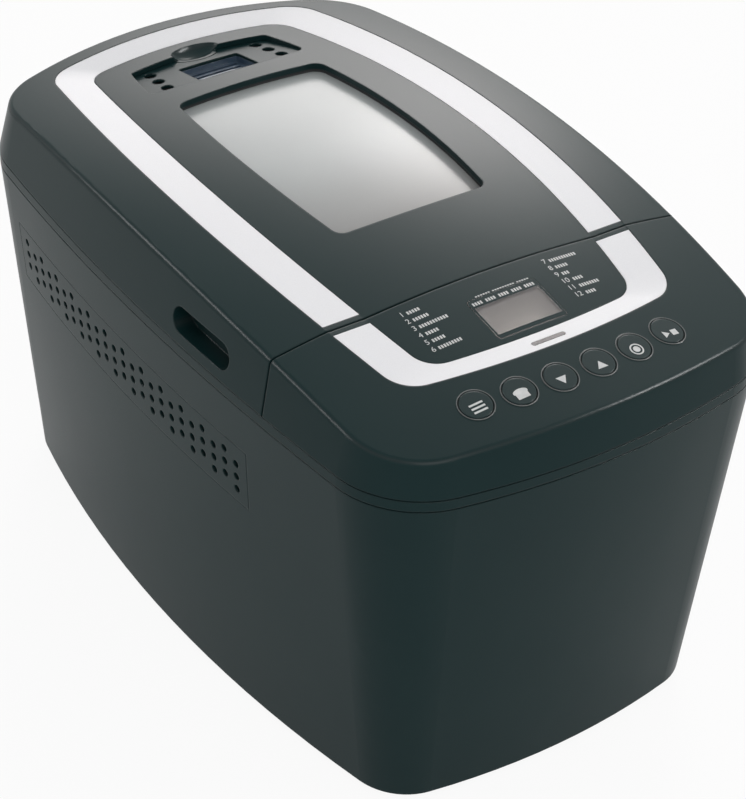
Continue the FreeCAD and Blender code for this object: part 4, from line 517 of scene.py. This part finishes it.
lens_low, lens_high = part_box("display_lens")
mask_left, mask_right = lens_low[0] + MASK_INSET, lens_high[0] - MASK_INSET
mask_front, mask_rear = lens_low[1] + MASK_INSET, lens_high[1] - MASK_INSET
view_left, view_right = mask_left + MASK_SIDE, mask_right - MASK_SIDE
view_front, view_rear = mask_front + MASK_FRONT, mask_rear - MASK_REAR


def flat_strip(left, right, front, rear):
    """A flat oblong above the panel."""
    bpy.ops.object.select_all(action="DESELECT")
    bpy.ops.mesh.primitive_plane_add(size=1, location=((left + right) / 2, (front + rear) / 2, ABOVE_PANEL))
    strip = bpy.context.object
    strip.scale = (right - left, rear - front, 1)
    settle()
    return strip


def round_corners(strip, radius, line):
    """Rounds the corners of a flat strip that lie beyond the given line, away from the display's middle."""
    select_only(strip)
    bpy.ops.object.mode_set(mode="EDIT")
    bpy.ops.mesh.select_all(action="DESELECT")
    bpy.ops.mesh.select_mode(type="VERT")
    bpy.ops.object.mode_set(mode="OBJECT")
    middle = (mask_front + mask_rear) / 2
    for vertex in strip.data.vertices:
        vertex.select = abs(vertex.co.y - middle) > abs(line - middle) + radius / 2
    bpy.ops.object.mode_set(mode="EDIT")
    bpy.ops.mesh.bevel(offset=radius, segments=MASK_CORNER_STEPS, affect="VERTICES")
    bpy.ops.object.mode_set(mode="OBJECT")


def cut_across(strip, cuts):
    """Cuts a flat strip crosswise, so that it can follow the crown."""
    left, right = (extreme(vertex.co.x for vertex in strip.data.vertices) for extreme in (min, max))
    select_only(strip)
    bpy.ops.object.mode_set(mode="EDIT")
    for step in range(1, cuts + 1):
        bpy.ops.mesh.select_all(action="SELECT")
        bpy.ops.mesh.bisect(plane_co=(left + (right - left) * step / (cuts + 1), 0, 0), plane_no=(1, 0, 0))
    bpy.ops.object.mode_set(mode="OBJECT")


def lay_print(piece, node, thickness=PRINT_THICKNESS, lift=PRINT_LIFT):
    """Drops a flat piece onto a CAD face below it and gives it the thickness of a printed layer, or more."""
    finish_with(piece, "SHRINKWRAP", target=nodes[node], wrap_method="PROJECT", wrap_mode="ABOVE_SURFACE",
                use_project_z=True, use_negative_direction=True, use_positive_direction=False, offset=lift)
    finish_with(piece, "SOLIDIFY", thickness=thickness, offset=1)


rear_strip = flat_strip(mask_left, mask_right, view_rear, mask_rear)
front_strip = flat_strip(mask_left, mask_right, mask_front, view_front)
side_strips = [flat_strip(mask_left, view_left, view_front, view_rear),
               flat_strip(view_right, mask_right, view_front, view_rear)]
for strip, line in ((rear_strip, view_rear), (front_strip, view_front)):
    round_corners(strip, MASK_CORNER, line)
    cut_across(strip, MASK_CUTS)
mask_strips = [rear_strip, front_strip, *side_strips]
for strip in mask_strips:
    lay_print(strip, "display_lens")
mask_black = grained("mask_black", CHARCOAL, CHARCOAL_WORN, roughness=0.34, gloss=0.12, grain_per_metre=1200,
                     depth=0.000006)
joined("display_mask", mask_strips, mask_black, "housing")

# Indicator: a grey acrylic bar in the front of the trim that glows while the machine works.
# Its top is flush with the sloping face.
BAR_GREY = (0.16, 0.155, 0.15, 1)
BAR_DARK = (0.11, 0.105, 0.10, 1)

indicator_lens, tree, shader, place = new_material("indicator_lens", roughness=0.3, gloss=0.15)
colour_by(tree, shader, add_noise(tree, place, per_metre=400, detail=3), BAR_DARK, BAR_GREY)
shader.inputs["Transmission Weight"].default_value = 0.05
add_bump(tree, shader, add_noise(tree, place, per_metre=1200, detail=1), depth=0.00001, rounding=0.0003)
paint(indicator_lens, "indicator_lens")

# Program lists and marks: printed in pale grey ink, either side of the display and on its mask.
# Each line has its number and a row of plain dashes; a finer row runs along behind the display.
LIST_COLUMNS = {-0.0495: range(1, 7), 0.0295: range(7, 13)}
LIST_FIRST_LINE = -0.1040
LIST_PITCH = 0.0049
NUMBER_SIZE = 0.0042
ONE_DIGIT, TWO_DIGITS = 0.0036, 0.0062
DASH_WIDTH, DASH_HEIGHT, DASH_PITCH = 0.0009, 0.0019, 0.0014
DASH_COUNTS = (5, 6, 11, 5, 5, 9, 11, 5, 3, 4, 8, 4)
MARKS_LINE = -0.1139
MARKS_START, MARKS_PITCH = -0.0172, 0.0072
MARKS_COUNT, MARK_DASHES = 5, 4
FINE_LINE, FINE_SHARE = -0.1094, 0.4
FINE_WORDS = ((-0.0130, 6), (-0.0036, 9), (0.0100, 5))
OVER_MASK = 0.00009
INK = (0.62, 0.63, 0.63, 1)
INK_THIN = (0.50, 0.52, 0.52, 1)


def ink_number(value, x, y):
    """A plain number, set flat above the panel."""
    bpy.ops.object.select_all(action="DESELECT")
    bpy.ops.object.text_add(location=(x, y, ABOVE_PANEL))
    number = bpy.context.object
    number.data.body = str(value)
    number.data.size = NUMBER_SIZE
    bpy.ops.object.convert(target="MESH")
    settle()
    return number


def dash_row(x, y, count, share=1.0):
    """A row of upright dashes from one dash, which may have a share of the full height."""
    dash = flat_strip(x, x + DASH_WIDTH, y, y + DASH_HEIGHT * share)
    finish_with(dash, "ARRAY", count=count, use_relative_offset=False, use_constant_offset=True,
                constant_offset_displace=(DASH_PITCH, 0, 0))
    return dash


inked = []
for column, values in LIST_COLUMNS.items():
    for line, value in enumerate(values):
        y = LIST_FIRST_LINE - line * LIST_PITCH
        inked.append(ink_number(value, column, y))
        start = column + (ONE_DIGIT if value < 10 else TWO_DIGITS)
        inked.append(dash_row(start, y, DASH_COUNTS[value - 1]))
for start, count in FINE_WORDS:
    inked.append(dash_row(start, FINE_LINE, count, FINE_SHARE))
for piece in inked:
    lay_print(piece, "control_panel")
for index in range(MARKS_COUNT):
    inked.append(dash_row(MARKS_START + index * MARKS_PITCH, MARKS_LINE, MARK_DASHES))
    lay_print(inked[-1], "display_lens", lift=OVER_MASK)
ink_grey = grained("ink_grey", INK_THIN, INK, roughness=0.6, grain_per_metre=2500, depth=0.000004,
                   flow_per_metre=300)
joined("program_list", inked, ink_grey, "housing")

# Buttons: six round caps in the same black as the panel, each over its own switch.
# A plain symbol is printed on every cap, and a fine raised bead is moulded round every hole; the bead's grey
# and the paler upward rounds of the caps are painted highlight.
BUTTONS = ("menu", "loaf_size", "time_down", "time_up", "crust", "start_stop")
SYMBOL_DROP = 0.0018
MENU_BAR, MENU_STEP = (0.0070, 0.0010), 0.0021
LOAF_SIDES, LOAF_SIDES_DROP = (0.0062, 0.0034), 0.0008
LOAF_CROWN, LOAF_CROWN_RISE = (0.0074, 0.0036), 0.0012
ARROW, ARROW_SHIFT = (0.0062, 0.0056), 0.0004
CRUST_RING, CRUST_LINE, CRUST_DOT = 0.0066, 0.0007, (0.0034, 0.0034)
START, START_SHIFT = (0.0042, 0.0046), 0.0022
STOP, STOP_SHIFT = (0.0032, 0.0032), 0.0026
DISC_SIDES, WEDGE_SIDES = 32, 3
# The bead's grey colours are painted highlight, for the light caught on its round.
RIM_HIGHLIGHT = (0.10, 0.11, 0.11, 1)
RIM_HIGHLIGHT_DARK = (0.075, 0.085, 0.085, 1)
RIM_ACROSS, RIM_WIDTH, RIM_HEIGHT = 0.0171, 0.0005, 0.0003
RIM_ROUND, RIM_ROUND_STEPS = 0.00012, 2
RIM_SIDES = 64

button_black = grained("button_black", CHARCOAL, CHARCOAL_WORN, roughness=0.34, gloss=0.16,
                       grain_per_metre=2600, depth=0.000012, rounding=EDGE_RADIUS)
follow_crown(button_black)
rub_edges(button_black)
paint(button_black, *[f"{name}_button" for name in BUTTONS])


def bar(x, y, size):
    """A flat oblong about its middle."""
    width, height = size
    return flat_strip(x - width / 2, x + width / 2, y - height / 2, y + height / 2)


def flat_disc(x, y, size, sides=DISC_SIDES, turn=0.0):
    """A flat disc, or a wedge where it has three sides."""
    bpy.ops.object.select_all(action="DESELECT")
    bpy.ops.mesh.primitive_circle_add(vertices=sides, radius=0.5, fill_type="NGON",
                                      location=(x, y, ABOVE_PANEL), rotation=(0, 0, turn))
    disc = bpy.context.object
    bpy.ops.object.transform_apply(location=False, rotation=True, scale=False)
    disc.scale = (*size, 1)
    settle()
    return disc


def ring_mark(x, y, across, line, sides=DISC_SIDES):
    """An open circle: a disc with its middle inset and taken out."""
    disc = flat_disc(x, y, (across, across), sides)
    bpy.ops.object.mode_set(mode="EDIT")
    bpy.ops.mesh.select_all(action="SELECT")
    bpy.ops.mesh.inset(thickness=line)
    bpy.ops.mesh.delete(type="FACE")
    bpy.ops.object.mode_set(mode="OBJECT")
    return disc


def symbol(name, x, y):
    """The shapes of one button's symbol about its middle."""
    if name == "menu":
        return [bar(x, y + step * MENU_STEP, MENU_BAR) for step in (-1, 0, 1)]
    if name == "loaf_size":
        return [bar(x, y - LOAF_SIDES_DROP, LOAF_SIDES), flat_disc(x, y + LOAF_CROWN_RISE, LOAF_CROWN)]
    if name == "time_down":
        return [flat_disc(x, y + ARROW_SHIFT, ARROW, WEDGE_SIDES, math.pi)]
    if name == "time_up":
        return [flat_disc(x, y - ARROW_SHIFT, ARROW, WEDGE_SIDES)]
    if name == "crust":
        return [ring_mark(x, y, CRUST_RING, CRUST_LINE), flat_disc(x, y, CRUST_DOT)]
    return [flat_disc(x - START_SHIFT, y, START, WEDGE_SIDES, -math.pi / 2), bar(x + STOP_SHIFT, y, STOP)]


rims = []
for name in BUTTONS:
    low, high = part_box(f"{name}_button")
    across, along = (low[0] + high[0]) / 2, (low[1] + high[1]) / 2
    shapes = symbol(name, across, along - SYMBOL_DROP)
    for shape in shapes:
        lay_print(shape, f"{name}_button")
    joined(f"{name}_symbol", shapes, ink_grey, f"{name}_key")
    rim = ring_mark(across, along, RIM_ACROSS, RIM_WIDTH, RIM_SIDES)
    lay_print(rim, "control_panel", RIM_HEIGHT)
    finish_with(rim, "BEVEL", width=RIM_ROUND, segments=RIM_ROUND_STEPS)
    rims.append(rim)
rim_painted_highlight = grained("rim_painted_highlight", RIM_HIGHLIGHT_DARK, RIM_HIGHLIGHT, roughness=0.3, gloss=0.4, grain_per_metre=2600, depth=0.000008)
joined("button_rims", rims, rim_painted_highlight, "housing")

# Window: tempered glass held under the lid by its rubber seal.
# A haze from baking takes the clearness off it. Its colour is a painted reflection, darker towards the front
# and palest towards the rear by the vent.
FILM_AND_REFLECTION_PALE = (0.53, 0.565, 0.565, 1)
FILM_AND_REFLECTION_DARK = (0.40, 0.405, 0.40, 1)
REFLECTION_FADE_FRONT, REFLECTION_FADE_REAR = -0.05, 0.035

window_glass, tree, shader, place = clear_sheet("window_glass", haze=0.66, roughness=0.26, gloss=0.08,
                                                unevenness=0.06)
along = tree.nodes.new("ShaderNodeSeparateXYZ")
tree.links.new(place, along.inputs["Vector"])
reflection_fade = tree.nodes.new("ShaderNodeMapRange")
reflection_fade.interpolation_type = "SMOOTHSTEP"
reflection_fade.inputs["From Min"].default_value = REFLECTION_FADE_FRONT
reflection_fade.inputs["From Max"].default_value = REFLECTION_FADE_REAR
tree.links.new(along.outputs["Y"], reflection_fade.inputs["Value"])
colour_by(tree, shader, reflection_fade.outputs["Result"], FILM_AND_REFLECTION_DARK, FILM_AND_REFLECTION_PALE, start=0.0, end=1.0)
paint(window_glass, "window_glass")

# Steam vent: a perforated plate with a translucent blue-grey slotted tray clipped under it.
# The plate slopes up from its rear edge until its front lies flush in the lid, so both flat mouldings are
# drawn out and tipped about that edge and trimmed to the lid's opening.
VENT_SLOPE = math.radians(4.4)
VENT_STRETCH = 1.12
VENT_REAR_EDGE = (0, 0.152, 0.2165)
VENT_FRONT_CUT = (0, 0.1135, 0)
MERGE_WITHIN = 0.000002
SMOOTH_BELOW = math.radians(30)
TRAY_BLUE = (0.060, 0.095, 0.14, 1)
TRAY_DEEP = (0.030, 0.055, 0.090, 1)


def merged_copy(node):
    """A node's shape as a new piece with its own closed mesh."""
    copy = bpy.data.objects.new(f"{node}_copy", nodes[node].data.copy())
    bpy.context.scene.collection.objects.link(copy)
    select_only(copy)
    bpy.ops.mesh.customdata_custom_splitnormals_clear()
    bpy.ops.object.mode_set(mode="EDIT")
    bpy.ops.mesh.select_all(action="SELECT")
    bpy.ops.mesh.remove_doubles(threshold=MERGE_WITHIN)
    bpy.ops.object.mode_set(mode="OBJECT")
    return copy


def tipped(node):
    """A copy of a flat moulding, tipped up at the front about the vent's rear edge and trimmed to the lid."""
    piece = merged_copy(node)
    bpy.ops.object.mode_set(mode="EDIT")
    bpy.ops.transform.resize(value=(1, VENT_STRETCH, 1), center_override=VENT_REAR_EDGE)
    bpy.ops.transform.rotate(value=VENT_SLOPE, orient_axis="X", center_override=VENT_REAR_EDGE)
    bpy.ops.mesh.bisect(plane_co=VENT_FRONT_CUT, plane_no=(0, -1, 0), use_fill=True, clear_outer=True)
    bpy.ops.object.mode_set(mode="OBJECT")
    lid_cutter = merged_copy("lid_cover")
    finish_with(piece, "BOOLEAN", operation="DIFFERENCE", solver="EXACT", object=lid_cutter)
    bpy.data.objects.remove(lid_cutter)
    bpy.ops.object.shade_smooth_by_angle(angle=SMOOTH_BELOW)
    return piece


screen_blue, tree, shader, place = new_material("screen_blue", roughness=0.3)
colour_by(tree, shader, add_noise(tree, place, per_metre=120, detail=3), TRAY_DEEP, TRAY_BLUE)
add_bump(tree, shader, add_noise(tree, place, per_metre=1600), depth=0.00001, rounding=0.0004)
for node, finish, slot in (("vent_plate", housing_black, "housing_black"),
                           ("vent_screen", screen_blue, "screen_blue")):
    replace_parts(joined(f"sloped_{node}", [tipped(node)], finish, "lid"), node)

# Camera: where the photograph was taken from, a little to the left of the front and looking down.
# Its angle, distance and lens come from a fit to the machine's outline.
CAMERA_AZIMUTH = math.radians(-34.90)
CAMERA_ELEVATION = math.radians(35.64)
CAMERA_ROLL = math.radians(2.05)
CAMERA_TARGET = Vector((-0.01783, -0.00302, 0.12729))
CAMERA_DISTANCE = 1.29534
IMAGE_WIDTH, IMAGE_HEIGHT = 746, 799
FOCAL_PIXELS = 2629.18
CENTRE_PIXEL = (327.53, 361.31)

back = Vector((math.sin(CAMERA_AZIMUTH) * math.cos(CAMERA_ELEVATION),
               -math.cos(CAMERA_AZIMUTH) * math.cos(CAMERA_ELEVATION), math.sin(CAMERA_ELEVATION)))
level_right = (-back).cross(Vector((0, 0, 1))).normalized()
level_up = level_right.cross(-back)
right = math.cos(CAMERA_ROLL) * level_right + math.sin(CAMERA_ROLL) * level_up
up = -math.sin(CAMERA_ROLL) * level_right + math.cos(CAMERA_ROLL) * level_up
camera_data = bpy.data.cameras.new("photo_camera")
camera_data.lens = camera_data.sensor_width * FOCAL_PIXELS / IMAGE_HEIGHT
camera_data.shift_x = (IMAGE_WIDTH / 2 - CENTRE_PIXEL[0]) / IMAGE_HEIGHT
camera_data.shift_y = (CENTRE_PIXEL[1] - IMAGE_HEIGHT / 2) / IMAGE_HEIGHT
camera = bpy.data.objects.new("photo_camera", camera_data)
bpy.context.scene.collection.objects.link(camera)
camera.matrix_world = Matrix.LocRotScale(
    CAMERA_TARGET + back * CAMERA_DISTANCE, Matrix((right, up, back)).transposed(), None)
bpy.context.scene.camera = camera

# Floor: a plain white sweep of paper that keeps a faint shadow under the machine.
# Where it is seen, straight or in a reflection, part of its white is its own.
FLOOR_SIZE, FLOOR_LEVEL = 12, -0.0002
FLOOR_WHITE = 0.86
FLOOR_GLOW = 0.92
FLOOR_GLOSS = 0.55

bpy.ops.object.select_all(action="DESELECT")
bpy.ops.mesh.primitive_plane_add(size=FLOOR_SIZE, location=(0, 0, FLOOR_LEVEL))
floor = bpy.context.object
floor.name = "floor"
settle()


def add_sight(tree, in_gloss=1.0):
    """1 for rays that show a surface straight or through glass, and a share for rays off gloss."""
    path = tree.nodes.new("ShaderNodeLightPath")
    off_gloss = add_range(tree, path.outputs["Is Glossy Ray"], 0.0, in_gloss)
    seen = path.outputs["Is Camera Ray"]
    for ray in (path.outputs["Is Transmission Ray"], off_gloss):
        either = tree.nodes.new("ShaderNodeMath")
        either.operation = "MAXIMUM"
        tree.links.new(seen, either.inputs[0])
        tree.links.new(ray, either.inputs[1])
        seen = either.outputs["Value"]
    return seen


floor_paper, tree, shader, place = new_material("floor_paper", roughness=0.9, gloss=0.0)
shader.inputs["Base Color"].default_value = (FLOOR_WHITE, FLOOR_WHITE, FLOOR_WHITE, 1)
glow = tree.nodes.new("ShaderNodeEmission")
shown = tree.nodes.new("ShaderNodeMixShader")
tree.links.new(add_range(tree, add_sight(tree, FLOOR_GLOSS), 0.0, FLOOR_GLOW), shown.inputs["Fac"])
tree.links.new(shader.outputs["BSDF"], shown.inputs[1])
tree.links.new(glow.outputs["Emission"], shown.inputs[2])
tree.links.new(shown.outputs["Shader"], tree.nodes["Material Output"].inputs["Surface"])
floor.data.materials.append(floor_paper)

# Studio light: a white room with soft bright banks behind on the right, which the lid mirrors.
# A key box stands in front, and a strip each side only shines in the rounded edges.
ROOM_WHITE = (1, 1, 1, 1)
ROOM_STRENGTH = 0.56
BANK_COLOUR = (1.0, 0.955, 0.945, 1)
BANKS = (
    {"azimuth": 57, "elevation": 20.4, "reach": 16.3, "strength": 5.3},
    {"azimuth": 46.5, "elevation": 27.4, "reach": 9, "strength": 13.5},
    {"azimuth": 25, "elevation": 52, "reach": 28, "strength": 1.0},
)
KEY_BOX = {"place": (-0.5, -2.2, 1.7), "target": (0, 0, 0.15), "size": (1.6, 1.6), "watts": 17}
STRIPS = {
    "left_strip": {"place": (-1.48, 1.11, 1.15), "target": (0, 0, 0.2), "size": (1.6, 0.5), "watts": 26},
    "right_strip": {"place": (1.36, -0.90, 1.36), "target": (0, 0, 0.2), "size": (1.0, 0.35), "watts": 42},
}


def add_bank(tree, outlook, azimuth, elevation, reach, strength):
    """A round bright patch of the room, which fades out at its reach in degrees from its middle."""
    turn, rise = math.radians(azimuth), math.radians(elevation)
    towards = tree.nodes.new("ShaderNodeVectorMath")
    towards.operation = "DOT_PRODUCT"
    towards.inputs[1].default_value = (math.cos(rise) * math.cos(turn), math.cos(rise) * math.sin(turn),
                                       math.sin(rise))
    tree.links.new(outlook, towards.inputs[0])
    patch = tree.nodes.new("ShaderNodeMapRange")
    patch.interpolation_type = "SMOOTHSTEP"
    patch.inputs["From Min"].default_value = math.cos(math.radians(reach))
    patch.inputs["To Max"].default_value = strength
    tree.links.new(towards.outputs["Value"], patch.inputs["Value"])
    return patch.outputs["Result"]


def add_sum(tree, first, second):
    """Two values added."""
    total = tree.nodes.new("ShaderNodeMath")
    tree.links.new(first, total.inputs[0])
    tree.links.new(second, total.inputs[1])
    return total.outputs["Value"]


def soft_box(name, place, target, size, watts):
    """An oblong lamp that faces its target."""
    lamp = bpy.data.lights.new(name, "AREA")
    lamp.shape = "RECTANGLE"
    lamp.size, lamp.size_y = size
    lamp.energy = watts
    item = bpy.data.objects.new(name, lamp)
    bpy.context.scene.collection.objects.link(item)
    item.location = place
    item.rotation_mode = "QUATERNION"
    item.rotation_quaternion = (Vector(target) - Vector(place)).to_track_quat("-Z", "Y")
    return item


world = bpy.data.worlds.new("studio")
bpy.context.scene.world = world
world.use_nodes = True
tree = world.node_tree
background = tree.nodes["Background"]
outlook = tree.nodes.new("ShaderNodeTexCoord").outputs["Generated"]
lit, *other_banks = [add_bank(tree, outlook, **bank) for bank in BANKS]
for bank in other_banks:
    lit = add_sum(tree, lit, bank)
tree.links.new(add_ramp(tree, lit, ROOM_WHITE, BANK_COLOUR, 0.0, 1.0), background.inputs["Color"])
room = add_range(tree, add_sight(tree), ROOM_STRENGTH, 1.0)
tree.links.new(add_sum(tree, room, lit), background.inputs["Strength"])

soft_box("key_box", **KEY_BOX)
for name, lamp in STRIPS.items():
    strip = soft_box(name, **lamp)
    strip.visible_diffuse = strip.visible_transmission = False

bpy.context.scene.view_settings.view_transform = "Standard"
